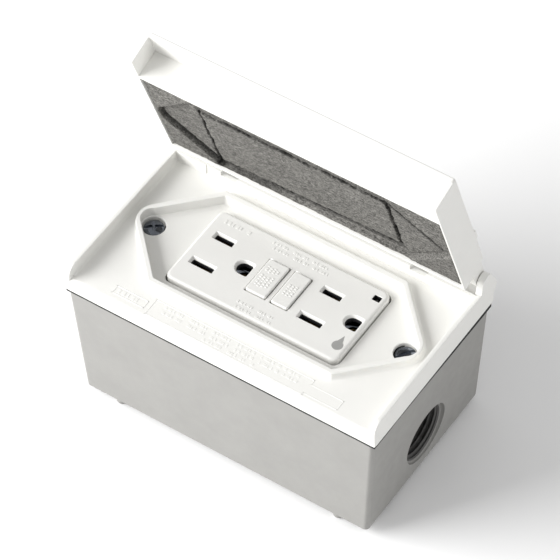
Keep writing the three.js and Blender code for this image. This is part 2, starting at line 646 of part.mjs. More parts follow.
function makeTerminalScrew(x, sign) {
  const face = BODY.halfWidth;
  const slotSpan = [TERMINAL.z - 0.5, TERMINAL.z + 0.5];
  const slot = block([x - 5, x + 5], sideways(sign, face + 1.5, face + 4), slotSpan);
  return join(
    cut(rod('y', TERMINAL.head, sideways(sign, face + 0.2, face + 2.3), [x, TERMINAL.z], 14), slot),
    rod('y', TERMINAL.shank, sideways(sign, face - 5.2, face + 0.3), [x, TERMINAL.z], 10),
  );
}

function makeClampPlate(x, sign, [from, to], half) {
  return cut(
    block([x - half, x + half], sideways(sign, from, to), [TERMINAL.z - half + 0.4, TERMINAL.z + half]),
    rod('y', TERMINAL.shank + 0.15, sideways(sign, from - 1, to + 1), [x, TERMINAL.z], 14),
  );
}

for (const { name, pole, x, sign } of terminalSites()) {
  const face = BODY.halfWidth;
  const finish = pole === 'hot' ? 'brass' : 'steel';
  place(`${name}_screw`, finish, makeTerminalScrew(x, sign));
  place(`${name}_terminal_plate`, finish, makeClampPlate(x, sign, [face - 1.8, face - 1], 4.9));
  place(`${name}_pressure_plate`, 'steel', makeClampPlate(x, sign, [face - 0.8, face], 4.1));
}

place('ground_terminal_screw', 'green', join(
  cut(
    rod('x', TERMINAL.head, [-37.5, -35.6], [9, TERMINAL.z], 18),
    block([-38, -36.4], [8.5, 9.5], [TERMINAL.z - 5, TERMINAL.z + 5]),
  ),
  rod('x', TERMINAL.shank, [-35.7, -30.6], [9, TERMINAL.z], 14),
));

// ---------------------------------------------------------------- reset, test and trip mechanism

const SPRING_SEAT = 38.2;
place('spring_seat', 'insulator', cut(
  block([RESET.x0 - 0.6, TEST.x1 + 0.4], [-9.1, 9.1], [SPRING_SEAT - 0.7, SPRING_SEAT + 0.6]),
  rod('z', LATCH_PIN.radius + 0.4, [30, 50], [resetX, 0], 16),
));
place('reset_spring', 'steel', coil(2.6, 0.3, 4.5, [SPRING_SEAT + 1, BUTTON.bottom - 0.4], [resetX, 0, 0]));

// The test leaf: a bent strip that the test button presses on a fixed stud.
function makeTestLeaf() {
  const foot = SPRING_SEAT + 0.75;
  const tip = BUTTON.bottom - GAP;
  const outline = roundedOutline([
    [-8.4, foot, 0], [-4.4, foot, 0], [4.6, tip - 0.5, 0], [7.6, tip - 0.5, 0],
    [7.6, tip, 0], [4.4, tip, 0], [-4.6, foot + 0.5, 0], [-8.4, foot + 0.5, 0],
  ]);
  return prismAlongX(outline, [testX - 1.6, testX + 1.6]);
}
place('test_leaf_spring', 'brass', makeTestLeaf());

function makeCarriage() {
  const { z0, z1 } = CARRIAGE;
  const body = block([resetX - 4.2, resetX + 4.2], [-4.8, 4.8], [z0, z1]);
  const wing = block([resetX - 2, resetX + 2], [4.5, 12.5], [z1 - 1.6, z1]);
  const latchWay = block([resetX - 6, resetX + 6], [-2.6, 2.6], [z0 + 1.2, z0 + 2.6]);
  return cut(
    join(body, wing, mirroredY(wing)), latchWay,
    rod('z', LATCH_PIN.radius + 0.5, [z0 - 1, z1 + 1], [resetX, 0], 16),
  );
}
place('contact_carriage', 'insulator', makeCarriage());
for (const [pole, sign] of [['hot', 1], ['neutral', -1]]) {
  place(`moving_contact_${pole}`, 'copper', join(
    block([resetX - 1.6, resetX + 9], sideways(sign, 9.6, 11.8), [CARRIAGE.z0 + 1.4, CARRIAGE.z1 - 1.9]),
    rod('z', 1.1, [CARRIAGE.z1 - 2, CARRIAGE.z1 - 0.6], [resetX + 7.6, sign * 10.7], 14),
  ));
}
place('latch_plate', 'steel', cut(
  block([resetX - 6.2, resetX + 5.2], [-2.2, 2.2], [CARRIAGE.z0 + 1.5, CARRIAGE.z0 + 2.3]),
  rod('z', LATCH_PIN.radius + 0.3, [30, 40], [resetX - PLUNGER_TRAVEL, 0], 16),
  rod('z', LATCH_PIN.radius + 0.3, [30, 40], [resetX, 0], 16),
  block([resetX - PLUNGER_TRAVEL, resetX], [-LATCH_PIN.radius - 0.3, LATCH_PIN.radius + 0.3], [30, 40]),
));

function makeBobbin() {
  const { x0, x1, z, bore, core, flange } = COIL;
  const centre = [0, z];
  return cut(
    join(
      rod('x', core, [x0, x1], centre, 14), rod('x', flange, [x0, x0 + 1], centre, 16),
      rod('x', flange, [x1 - 1, x1], centre, 16),
    ),
    rod('x', bore + 0.25, [x0 - 1, x1 + 1], centre, 14),
  );
}
place('solenoid_bobbin', 'white', makeBobbin());
place('solenoid_coil', 'copper', tube(
  'x', COIL.radius, COIL.core + 0.15, [COIL.x0 + 1.15, COIL.x1 - 1.15], [0, COIL.z], 14,
));

// A U of steel under and beyond both ends of the bobbin.
function makeYoke() {
  const { x0, x1, z, bore } = COIL;
  const [inner, outer] = [0.2, 1.1];
  const top = z + 4;
  const ends = [block([x0 - outer, x0 - inner], [-4, 4], [BOARD.top + 0.1, top]),
    block([x1 + inner, x1 + outer], [-4, 4], [BOARD.top + 0.1, top])];
  const base = block([x0 - outer, x1 + outer], [-4, 4], [BOARD.top + 0.1, BOARD.top + 0.7]);
  return cut(join(base, ...ends), rod('x', bore + 0.3, [x0 - 3, x1 + 3], [0, z], 14));
}
place('solenoid_yoke', 'steel', makeYoke());

const plungerTip = resetX - 6.2 - GAP;
place('solenoid_plunger', 'steel', join(
  rod('x', COIL.bore - 0.05, [COIL.x0 - 3.6, COIL.x1 - 0.6], [0, COIL.z], 16),
  rod('x', 2.9, [COIL.x0 - 4.6, COIL.x0 - 3.5], [0, COIL.z], 16),
  rod('x', 1, [COIL.x1 - 0.7, plungerTip], [0, COIL.z], 14),
));

// ---------------------------------------------------------------- sensing and electronics

const toroidBase = BOARD.top + 1;
place('toroid_sleeve', 'white', join(
  tube('z', TOROID.inner - 0.3, TOROID.inner - 1.3, [BOARD.top + 0.15, 36.6], [TOROID.x, 0], 16),
  tube('z', TOROID.outer, TOROID.inner - 1.3, [BOARD.top + 0.15, toroidBase - 0.15], [TOROID.x, 0], 16),
));
['sense_toroid', 'neutral_toroid'].forEach((name, i) => {
  const bottom = toroidBase + i * (TOROID.height + 0.4);
  const span = [bottom, bottom + TOROID.height];
  place(name, 'copper', tube('z', TOROID.outer, TOROID.inner, span, [TOROID.x, 0], 18));
});

place('circuit_board', 'board', cut(
  block(
    [-BOARD.halfLength, BOARD.halfLength], [-BOARD.halfWidth, BOARD.halfWidth], [BOARD.bottom, BOARD.top],
  ),
  ...housingScrewHoles(HOUSING_SCREW.boss + GAP, [BOARD.bottom - 1, BOARD.top + 1]),
));
place('varistor', 'component', join(
  rod('y', 4.2, [-14.4, -11.6], [-16, BOARD.top + 5], 20),
  block([-17.6, -14.4], [-13.6, -12.4], [BOARD.top + 0.15, BOARD.top + 2]),
));
place('control_chip', 'component', block([-3, 6], [12.6, 16.4], [BOARD.top + 0.15, BOARD.top + 1.9]));

place('indicator_lamp', 'lamp', join(
  rod('z', LAMP.radius, [LAMP.bottom, 48.2], [LAMP.x, LAMP.y], 14),
  rod('z', LAMP.radius, [48.1, 49.4], [LAMP.x, LAMP.y], 14, LAMP.radius * 0.55),
));
const pipeHalf = [LAMP.length / 2 - 0.2, LAMP.width / 2 - 0.2];
place('light_pipe', 'component', block(
  [LAMP.x - pipeHalf[0], LAMP.x + pipeHalf[0]], [LAMP.y - pipeHalf[1], LAMP.y + pipeHalf[1]],
  [FACE.bottom + 0.1, FACE.top - 0.9],
));

export default outlet;
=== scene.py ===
"""Ground-fault outlet in a weatherproof box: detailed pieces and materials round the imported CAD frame.

Shapes are drawn in millimetres in the CAD model's frame and scaled to metres when a piece is finished.
The lid and its pad are drawn closed, then swung open about the hinge.
"""
import json
import math

import bmesh
import bpy
from mathutils import Matrix, Vector, noise


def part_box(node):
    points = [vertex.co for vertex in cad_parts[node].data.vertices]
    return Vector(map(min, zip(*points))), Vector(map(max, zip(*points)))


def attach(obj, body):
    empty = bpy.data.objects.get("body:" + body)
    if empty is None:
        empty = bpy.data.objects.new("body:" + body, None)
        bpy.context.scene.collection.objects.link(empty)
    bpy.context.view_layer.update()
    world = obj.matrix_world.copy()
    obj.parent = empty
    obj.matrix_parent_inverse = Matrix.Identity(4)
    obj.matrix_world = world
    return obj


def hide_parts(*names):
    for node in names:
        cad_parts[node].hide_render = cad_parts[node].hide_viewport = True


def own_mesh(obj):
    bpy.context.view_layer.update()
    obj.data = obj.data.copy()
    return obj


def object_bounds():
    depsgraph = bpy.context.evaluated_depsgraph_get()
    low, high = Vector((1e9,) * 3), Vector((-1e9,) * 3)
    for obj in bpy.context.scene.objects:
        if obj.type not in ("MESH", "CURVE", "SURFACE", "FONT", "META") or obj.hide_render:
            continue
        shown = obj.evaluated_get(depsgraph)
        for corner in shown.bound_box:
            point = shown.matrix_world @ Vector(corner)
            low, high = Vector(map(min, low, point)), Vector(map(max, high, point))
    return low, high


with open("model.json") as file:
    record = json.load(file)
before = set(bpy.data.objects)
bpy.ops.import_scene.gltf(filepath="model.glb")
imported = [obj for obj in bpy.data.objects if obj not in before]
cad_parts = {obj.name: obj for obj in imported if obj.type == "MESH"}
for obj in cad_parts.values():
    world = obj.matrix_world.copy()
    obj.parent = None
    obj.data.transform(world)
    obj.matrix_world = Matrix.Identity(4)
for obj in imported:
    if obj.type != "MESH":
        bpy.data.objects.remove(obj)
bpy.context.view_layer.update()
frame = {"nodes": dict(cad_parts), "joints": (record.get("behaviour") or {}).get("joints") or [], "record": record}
MM = 0.001

# ---------------------------------------------------------------- named dimensions, mm

# the box
BOX_DRAFT = (3.2, 0.85)
BOX_WALL, BOX_BACK, BOX_CORNER, BOX_FILLET = 3.0, 3.0, 1.6, 0.8
BOSS_RADIUS, BOSS_DEPTH = 14.5, 3.5
LUG_START, LUG_HALF, LUG_HEIGHTS = 37.6, 5, (39.2, 48.2)
GROUND_BOSS, GROUND_BOSS_RADIUS, GROUND_BOSS_HEIGHT = (-34, 18), 4, 4
TAPPED_RADIUS, TAPPED_HEIGHTS = 1.95, (35, 52)
INNER_OPENING, GASKET_DROOP = (54, 30.5), (-18, 26)
CONDUIT_Z, CONDUIT_RADIUS, MOUTH_RADIUS, MOUTH_DEPTH = 16.0, 10.2, 11.4, 1.6
THREAD_PITCH, THREAD_DEPTH, THREAD_START, THREAD_STATION = 1.81, 0.95, 4.6, 0.13
FOOT_X, FOOT_Y, FOOT_RADIUS = 43.4, 31.2, 2.0

# the cover
COVER_FLOOR, COVER_WALL, WALL_TOP, COVER_BACK, HUB_BOTTOM = 55.0, 1.8, 59.8, 36.0, 50.3
RECESS_FLOOR, RIM_TOP, RIM_WIDTH = 53.4, 57.3, 2.2
HEX_FLAT, HEX_HALF, HEX_APEX, HEX_APEX_RADIUS, HEX_CORNER = 34.6, 20.6, 55.0, 5.0, 1.2
BACK_WALL_FRONT, BACK_WALL_BACK, LEDGE_TOP = 26.4, 27.9, 56.6
COVER_SCREW_X, DEVICE_SCREW_X, SCREW_WAY, SCREW_HOLE, SCREW_SEAT = 49.2, 41.65, 4.1, 2.2, 51.55
STRAP_POCKET_X, STRAP_POCKET_HALF, STRAP_POCKET_DEPTH = (36.4, 46.8), 10, 1.6
NOTCH_X, NOTCH_DEPTH, GROOVE_X = (33.8, 40.4), 1.5, (-46.4, -45.6)
PIN_HOLE, PIN_SKIN, LID_PIN_HOLE = 1.6, 0.06, 1.65
EAR_RADIUS, EAR_BASE, KNUCKLE_RADIUS, KNUCKLE_INNER = 2.9, (33.6, 57.4, 4.2), 2.7, 54.4

# the lid, as it is when closed
LID_HALF, LID_FRONT, LID_BACK, LID_TOP, LID_PLATE = 57.2, -35.0, 24.5, 67.6, 2.0
LID_WALL, LID_RIM, SKIRT_FRONT, SKIRT, LID_REAR_WALL = 0.75, 55.4, -25.4, 1.3, 1.5
LID_RIB, LID_RIB_HEIGHT = (4.5, 9.0), 0.7
ARM_BOTTOM, ARM_TOP = 60.6, 65.8

# the device
FACE_TOP, FACE_SKIN, FACE_CORNER, FACE_WALL = 55.4, 2.8, 2.5, 2.0
OUTLET_X = (-25.3, 16.9)
SLOT_Y, SLOT_WIDTH, SLOT_LENGTHS = 6.35, 2.0, {-1: 8.2, 1: 6.8}
GROUND_OFFSET, GROUND_RADIUS = 11.9, 2.45
FUNNEL, FUNNEL_DEPTH, CUTTER_START = 0.55, 1.1, 48
BUTTONS = {"reset": (-8.2, 0.2), "test": (1.7, 8.7)}
BUTTON_HALF, BUTTON_TOP, BUTTON_BOTTOM, BUTTON_CLEAR = 7.7, 56.0, 47.2, 0.35
LAMP_WINDOW = (30.3, 12.4, 2.8, 2.2)


def corners(node):
    """Lowest and highest corner of a CAD node, in millimetres."""
    low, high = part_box(node)
    return low / MM, high / MM


# ---------------------------------------------------------------- outlines and solids

def arc(start, end, steps):
    """Angles from start to end in equal steps, both ends included."""
    return [start + (end - start) * k / steps for k in range(steps + 1)]


def finish_mesh(bm, name="shape"):
    bmesh.ops.recalc_face_normals(bm, faces=bm.faces)
    mesh = bpy.data.meshes.new(name)
    bm.to_mesh(mesh)
    bm.free()
    obj = bpy.data.objects.new(name, mesh)
    bpy.context.scene.collection.objects.link(obj)
    return obj


def rounded(points, steps=6):
    """A closed outline through corners given as (x, y, rounding reach)."""
    outline = []
    for i, (x, y, radius) in enumerate(points):
        corner = Vector((x, y))
        before = (Vector(points[i - 1][:2]) - corner).normalized()
        after = (Vector(points[(i + 1) % len(points)][:2]) - corner).normalized()
        half_angle = math.acos(max(-1, min(1, before.dot(after)))) / 2
        reach = radius / math.tan(half_angle)
        centre = corner + (before + after).normalized() * radius / math.sin(half_angle)
        start = corner + before * reach - centre
        end = corner + after * reach - centre
        sweep = start.angle_signed(end)
        for k in range(steps + 1):
            turn = Matrix.Rotation(-sweep * k / steps, 2)
            outline.append(centre + turn @ start)
    return outline


def rectangle(half_x, half_y, radius, centre=(0, 0), steps=6):
    cx, cy = centre
    return rounded([(cx + half_x, cy - half_y, radius), (cx + half_x, cy + half_y, radius),
                    (cx - half_x, cy + half_y, radius), (cx - half_x, cy - half_y, radius)], steps)


def hexagon(margin, steps=10):
    """The recess outline, grown by a margin; the slanted sides set how far each corner moves."""
    flat, half, tip = HEX_FLAT + margin * 0.45, HEX_HALF + margin, HEX_APEX + margin * 1.2
    point, corner = HEX_APEX_RADIUS + margin, HEX_CORNER
    return rounded([(tip, 0, point), (flat, half, corner), (-flat, half, corner),
                    (-tip, 0, point), (-flat, -half, corner), (flat, -half, corner)], steps)


def at_height(outline, z):
    return [(p[0], p[1], z) for p in outline]


def at_station(outline, x):
    """An outline drawn in the YZ plane, at one place along X."""
    return [(x, p[0], p[1]) for p in outline]


def bridge(bm, low, high):
    """A band of quads between two loops of vertices."""
    for i in range(len(low)):
        bm.faces.new((low[i - 1], low[i], high[i], high[i - 1]))


def skin(bm, rings):
    """A closed shape through rings with equal point counts, capped at both ends."""
    loops = [[bm.verts.new(p) for p in ring] for ring in rings]
    bm.faces.new(loops[0])
    bm.faces.new(loops[-1])
    for low, high in zip(loops, loops[1:]):
        bridge(bm, low, high)


def loft(rings):
    bm = bmesh.new()
    skin(bm, rings)
    return finish_mesh(bm)


def prism(outline, z0, z1):
    return loft([at_height(outline, z0), at_height(outline, z1)])


def rounded_levels(z0, z1, radius, steps=4):
    """(height, inset) pairs for a solid from z0 to z1 whose top edge is rounded."""
    levels = [(z0, 0.0), (z1 - radius, 0.0)]
    for k in range(1, steps + 1):
        angle = math.pi / 2 * k / steps
        levels.append((z1 - radius + radius * math.sin(angle), radius * (1 - math.cos(angle))))
    return levels


def block(x, y, z, soft=0.0, segments=2):
    bm = bmesh.new()
    bmesh.ops.create_cube(bm, size=1)
    for v in bm.verts:
        v.co = Vector([a[0] + (c + 0.5) * (a[1] - a[0]) for a, c in zip((x, y, z), v.co)])
    if soft:
        bmesh.ops.bevel(bm, geom=bm.edges, offset=soft, segments=segments, profile=0.5, affect="EDGES")
    return finish_mesh(bm)


def lathe(profile, axis, centre, segments=48):
    """A solid of revolution.

    The profile holds (place along the axis, radius), and centre holds the other two coordinates.
    """
    rings = []
    for along, radius in profile:
        ring = []
        for k in range(segments):
            a = 2 * math.pi * k / segments
            u, v = centre[0] + radius * math.cos(a), centre[1] + radius * math.sin(a)
            ring.append({"x": (along, u, v), "y": (u, along, v), "z": (u, v, along)}[axis])
        rings.append(ring)
    return loft(rings)


def disc(axis, radius, span, centre, soft=0.0, segments=48):
    low, high = span
    if not soft:
        return lathe([(low, radius), (high, radius)], axis, centre, segments)
    edge = [(0, soft), (soft * 0.3, soft * 0.3), (soft, 0)]
    profile = [(low + a, radius - b) for a, b in edge]
    profile += [(high - a, radius - b) for a, b in reversed(edge)]
    return lathe(profile, axis, centre, segments)


def bake(obj):
    """Replaces a mesh by its modified form."""
    graph = bpy.context.evaluated_depsgraph_get()
    mesh = bpy.data.meshes.new_from_object(obj.evaluated_get(graph))
    obj.modifiers.clear()
    obj.data = mesh


def combine(target, operation, tools):
    for tool in tools:
        modifier = target.modifiers.new("combine", "BOOLEAN")
        modifier.operation = operation
        modifier.solver = "MANIFOLD"
        modifier.object = tool
        bake(target)
        bpy.data.objects.remove(tool)
    return target


def fuse(target, *tools):
    return combine(target, "UNION", tools)


def carve(target, *tools):
    return combine(target, "DIFFERENCE", tools)


def tidy(obj, degrees=0.4):
    """Joins flat neighbours that booleans have split."""
    bm = bmesh.new()
    bm.from_mesh(obj.data)
    bmesh.ops.remove_doubles(bm, verts=bm.verts, dist=0.002)
    bmesh.ops.dissolve_limit(bm, angle_limit=math.radians(degrees), verts=bm.verts, edges=bm.edges)
    bm.to_mesh(obj.data)
    bm.free()
    return obj


def soften(obj, width):
    """Rounds the sharp edges of a solid."""
    tidy(obj)
    modifier = obj.modifiers.new("soften", "BEVEL")
    modifier.width = width
    modifier.segments = 2
    modifier.limit_method = "ANGLE"
    modifier.angle_limit = math.radians(35)
    modifier.use_clamp_overlap = False
    modifier.miter_outer = "MITER_ARC"
    bake(obj)


def mirrored(obj):
    """A copy reflected in the YZ plane."""
    copy = bpy.data.objects.new(obj.name, obj.data.copy())
    bpy.context.scene.collection.objects.link(copy)
    copy.data.transform(Matrix.Scale(-1, 4, (1, 0, 0)))
    copy.data.flip_normals()
    return copy


def both(obj):
    return obj, mirrored(obj)


# ---------------------------------------------------------------- materials

def node_tree(name):
    material = bpy.data.materials.new(name)
    material.use_nodes = True
    nodes, links = material.node_tree.nodes, material.node_tree.links
    shader = nodes["Principled BSDF"]
    place = nodes.new("ShaderNodeTexCoord")
    return material, nodes, links, shader, place.outputs["Object"]


def noise_node(nodes, links, vector, scale, detail=3.0, roughness=0.55):
    texture = nodes.new("ShaderNodeTexNoise")
    texture.inputs["Scale"].default_value = scale
    texture.inputs["Detail"].default_value = detail
    texture.inputs["Roughness"].default_value = roughness
    links.new(vector, texture.inputs["Vector"])
    return texture.outputs["Fac"]


def remap(nodes, links, value, low, high):
    """Spreads the middle of a noise texture over the range from low to high."""
    node = nodes.new("ShaderNodeMapRange")
    node.inputs["From Min"].default_value = 0.3
    node.inputs["From Max"].default_value = 0.7
    node.inputs["To Min"].default_value = low
    node.inputs["To Max"].default_value = high
    links.new(value, node.inputs["Value"])
    return node.outputs["Result"]


def ramp(nodes, links, value, stops):
    node = nodes.new("ShaderNodeValToRGB")
    elements = node.color_ramp.elements
    while len(elements) < len(stops):
        elements.new(0.5)
    for element, (position, colour) in zip(elements, stops):
        element.position = position
        element.color = (*colour, 1)
    links.new(value, node.inputs["Fac"])
    return node.outputs["Color"]


def shade(colour, factor):
    return tuple(min(1, c * factor) for c in colour)


def grey(value):
    return (value,) * 3


def stretched(nodes, links, vector, scale):
    """Texture coordinates drawn out along the axes whose scale is small."""
    mapping = nodes.new("ShaderNodeMapping")
    mapping.inputs["Scale"].default_value = scale
    links.new(vector, mapping.inputs["Vector"])
    return mapping.outputs["Vector"]


def multiply(nodes, links, first, second):
    node = nodes.new("ShaderNodeMix")
    node.data_type = "RGBA"
    node.blend_type = "MULTIPLY"
    node.inputs["Factor"].default_value = 1.0
    links.new(first, node.inputs["A"])
    links.new(second, node.inputs["B"])
    return node.outputs["Result"]


def bump(nodes, links, height, distance, strength=1.0, under=None):
    node = nodes.new("ShaderNodeBump")
    node.inputs["Distance"].default_value = distance
    node.inputs["Strength"].default_value = strength
    links.new(height, node.inputs["Height"])
    if under:
        links.new(under, node.inputs["Normal"])
    return node.outputs["Normal"]


def moulded(name, colour, roughness, spread, grain, grain_depth, metallic=0.0, coat=0.0):
    """Moulded, cast or plated surface: slight mottling, uneven gloss and a fine grain."""
    material, nodes, links, shader, place = node_tree(name)
    patch = 90
    mottle = noise_node(nodes, links, place, patch, 4)
    tint = ramp(nodes, links, mottle, [(0.3, shade(colour, 1 - spread)), (0.7, shade(colour, 1 + spread))])
    links.new(tint, shader.inputs["Base Color"])
    gloss = noise_node(nodes, links, place, patch * 3.3, 5)
    sheen = remap(nodes, links, gloss, roughness * 0.88, min(1, roughness * 1.14))
    links.new(sheen, shader.inputs["Roughness"])
    fine = noise_node(nodes, links, place, grain, 2)
    broad = noise_node(nodes, links, place, grain * 0.09, 2)
    surface = bump(nodes, links, broad, grain_depth * 3)
    links.new(bump(nodes, links, fine, grain_depth, under=surface), shader.inputs["Normal"])
    shader.inputs["Metallic"].default_value = metallic
    shader.inputs["Coat Weight"].default_value = coat
    return material


def brushed(name, colour, roughness):
    """Plated metal with fine drawn or turned scratches and a few dull patches."""
    material, nodes, links, shader, place = node_tree(name)
    lines = noise_node(nodes, links, stretched(nodes, links, place, (1, 14, 1)), 420, 5, 0.7)
    dull = noise_node(nodes, links, place, 260, 4)
    tint = ramp(nodes, links, dull, [(0.32, shade(colour, 0.82)), (0.68, shade(colour, 1.08))])
    links.new(tint, shader.inputs["Base Color"])
    links.new(remap(nodes, links, lines, roughness * 0.7, roughness * 1.5), shader.inputs["Roughness"])
    links.new(bump(nodes, links, lines, 0.00001), shader.inputs["Normal"])
    shader.inputs["Metallic"].default_value = 1.0
    return material


def open_foam(name, colour):
    """Grey open-cell foam: dark pores, pale struts and a faint drag of the slicing blade."""
    material, nodes, links, shader, place = node_tree(name)
    cells = nodes.new("ShaderNodeTexVoronoi")
    cells.feature = "F1"
    cells.inputs["Scale"].default_value = 1500
    links.new(place, cells.inputs["Vector"])
    drag = noise_node(nodes, links, stretched(nodes, links, place, (0.16, 1.0, 1.0)), 1500, 3, 0.7)
    pores = nodes.new("ShaderNodeMath")
    pores.operation = "MULTIPLY_ADD"
    links.new(cells.outputs["Distance"], pores.inputs[0])
    pores.inputs[1].default_value = 0.55
    links.new(drag, pores.inputs[2])
    speck = ramp(nodes, links, pores.outputs["Value"],
                 [(0.42, shade(colour, 0.38)), (0.62, shade(colour, 0.95)), (0.95, shade(colour, 1.5))])
    patch = noise_node(nodes, links, place, 70, 3)
    slow = ramp(nodes, links, patch, [(0.3, grey(0.88)), (0.7, grey(1.0))])
    grain = noise_node(nodes, links, stretched(nodes, links, place, (0.3, 1.0, 1.0)), 2700, 4, 0.8)
    fibres = ramp(nodes, links, grain, [(0.38, grey(0.35)), (0.5, grey(1.0)), (0.62, grey(1.45))])
    surface = multiply(nodes, links, speck, multiply(nodes, links, slow, fibres))
    # painted shade: the 'cut' attribute mixes in near-black along the die-cut lines, the rim's crease and the
    # fold, where the pad's own shadows fall
    cut = nodes.new("ShaderNodeAttribute")
    cut.attribute_name = "cut"
    dark = nodes.new("ShaderNodeMix")
    dark.data_type = "RGBA"
    links.new(cut.outputs["Fac"], dark.inputs["Factor"])
    links.new(surface, dark.inputs["A"])
    dark.inputs["B"].default_value = (*shade(colour, 0.07), 1)
    links.new(dark.outputs["Result"], shader.inputs["Base Color"])
    links.new(bump(nodes, links, pores.outputs["Value"], 0.0003, 0.9), shader.inputs["Normal"])
    shader.inputs["Roughness"].default_value = 0.96
    shader.inputs["Specular IOR Level"].default_value = 0.15
    return material


MATERIALS = {
    "casting": moulded("cast_powder_coat", (0.302, 0.297, 0.284), 0.52, 0.035, 1500, 0.00002),
    "cover": moulded("white_satin_plastic", (0.822, 0.817, 0.788), 0.42, 0.008, 3000, 0.000006),
    "gasket": moulded("black_sponge_rubber", (0.012, 0.012, 0.012), 0.85, 0.2, 1800, 0.00003),
    "foam": open_foam("grey_foam", (0.138, 0.134, 0.125)),
    "device_face": moulded("pale_grey_plastic", (0.79, 0.785, 0.76), 0.36, 0.008, 2600, 0.000006),
    "button": moulded("pale_button_plastic", (0.8, 0.795, 0.77), 0.34, 0.008, 2600, 0.000006),
    "steel": brushed("zinc_plated_steel", (0.17, 0.185, 0.21), 0.17),
    "brass": brushed("plain_brass", (0.24, 0.17, 0.08), 0.4),
    "green_screw": moulded("green_plating", (0.05, 0.25, 0.1), 0.32, 0.12, 900, 0.00001, 0.6),
    "insulator": moulded("dark_phenolic", (0.03, 0.032, 0.036), 0.55, 0.1, 1200, 0.00002),
    "copper": brushed("enamelled_copper", (0.72, 0.36, 0.2), 0.3),
    "board": moulded("green_laminate", (0.03, 0.16, 0.06), 0.4, 0.12, 800, 0.00001, coat=0.3),
    # black epoxy for the real black parts; the face plate also uses it as painted shade on the walls inside its
    # openings
    "component": moulded("black_epoxy_and_painted_slot_shade", (0.02, 0.02, 0.022), 0.5, 0.15, 1600, 0.00001),
    "lamp": moulded("tinted_epoxy", (0.3, 0.6, 0.33), 0.18, 0.05, 600, 0.000004, coat=0.5),
    "lens": moulded("dark_lens", (0.006, 0.006, 0.006), 0.12, 0.3, 500, 0.000003),
}
# painted shade: near-black for the faces inside the threaded conduit bore, in place of the shadow deep in the
# entry
BORE_PAINTED_SHADE = moulded("painted_bore_shade", (0.075, 0.073, 0.07), 0.4, 0.08, 1500, 0.00002)
GREY_PRINT = moulded("grey_print", (0.33, 0.33, 0.32), 0.5, 0.06, 2600, 0.000006)


# ---------------------------------------------------------------- finishing a piece

def smooth(obj):
    obj.data.shade_smooth()
    obj.data.set_sharp_from_angle(angle=math.radians(34))
    modifier = obj.modifiers.new("weighted", "WEIGHTED_NORMAL")
    modifier.keep_sharp = True
    modifier.weight = 60


def piece(obj, name, body, slot, *replaced, material=None):
    obj.name = name
    obj.data.name = name
    obj.data.transform(Matrix.Scale(MM, 4))
    obj.data.materials.clear()
    obj.data.materials.append(material or MATERIALS[slot])
    smooth(obj)
    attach(obj, body)
    if replaced:
        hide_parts(*replaced)
    return obj


LID_JOINT = next(joint for joint in frame["joints"] if joint["name"] == "lid_hinge")
HINGE_Y, HINGE_Z = LID_JOINT["pos_m"][1] / MM, LID_JOINT["pos_m"][2] / MM


def swing_open(obj):
    """Turns a shape drawn on the closed lid to where the lid stands at rest."""
    hinge = Vector(LID_JOINT["pos_m"]) / MM
    turn = Matrix.Rotation(math.radians(LID_JOINT["range_deg"][0]), 4, "X")
    obj.data.transform(Matrix.Translation(hinge) @ turn @ Matrix.Translation(-hinge))
    return obj


def second_material(obj, material, belongs):
    """Gives another material to the faces whose corners, in millimetres, and normal pass the test."""
    obj.data.materials.append(material)
    points = [v.co / MM for v in obj.data.vertices]
    for face in obj.data.polygons:
        if belongs([points[i] for i in face.vertices], face.normal):
            face.material_index = 1


# ---------------------------------------------------------------- box

def threaded_cutter(start, mouth):
    """The conduit entry's bore: a helical thread, its chamfered end and the flat-bottomed counterbore."""
    turns = [2 * math.pi * k / 96 for k in range(96)]
    inner = CONDUIT_RADIUS - THREAD_DEPTH * 0.55

    def thread_radius(x, a):
        phase = (x / THREAD_PITCH - a / (2 * math.pi)) % 1
        return inner + THREAD_DEPTH * max(0.0, min(1.0, (1 - abs(2 * phase - 1)) * 1.5 - 0.2))

    def ring(x, radii):
        return [(x, r * math.cos(a), CONDUIT_Z + r * math.sin(a)) for a, r in zip(turns, radii)]

    steps = int((mouth - 0.7 - start) / THREAD_STATION)
    stations = [start + i * THREAD_STATION for i in range(steps + 1)]
    rings = [ring(x, [thread_radius(x, a) for a in turns]) for x in stations]
    rings += [ring(x, [radius] * len(turns))
              for x, radius in [(mouth - 0.5, CONDUIT_RADIUS), (mouth, CONDUIT_RADIUS + 0.45),
                                (mouth, MOUTH_RADIUS - 0.3), (mouth + 0.1, MOUTH_RADIUS - 0.1),
                                (mouth + 0.3, MOUTH_RADIUS), (mouth + 4, MOUTH_RADIUS + 0.1)]]
    return loft(rings)


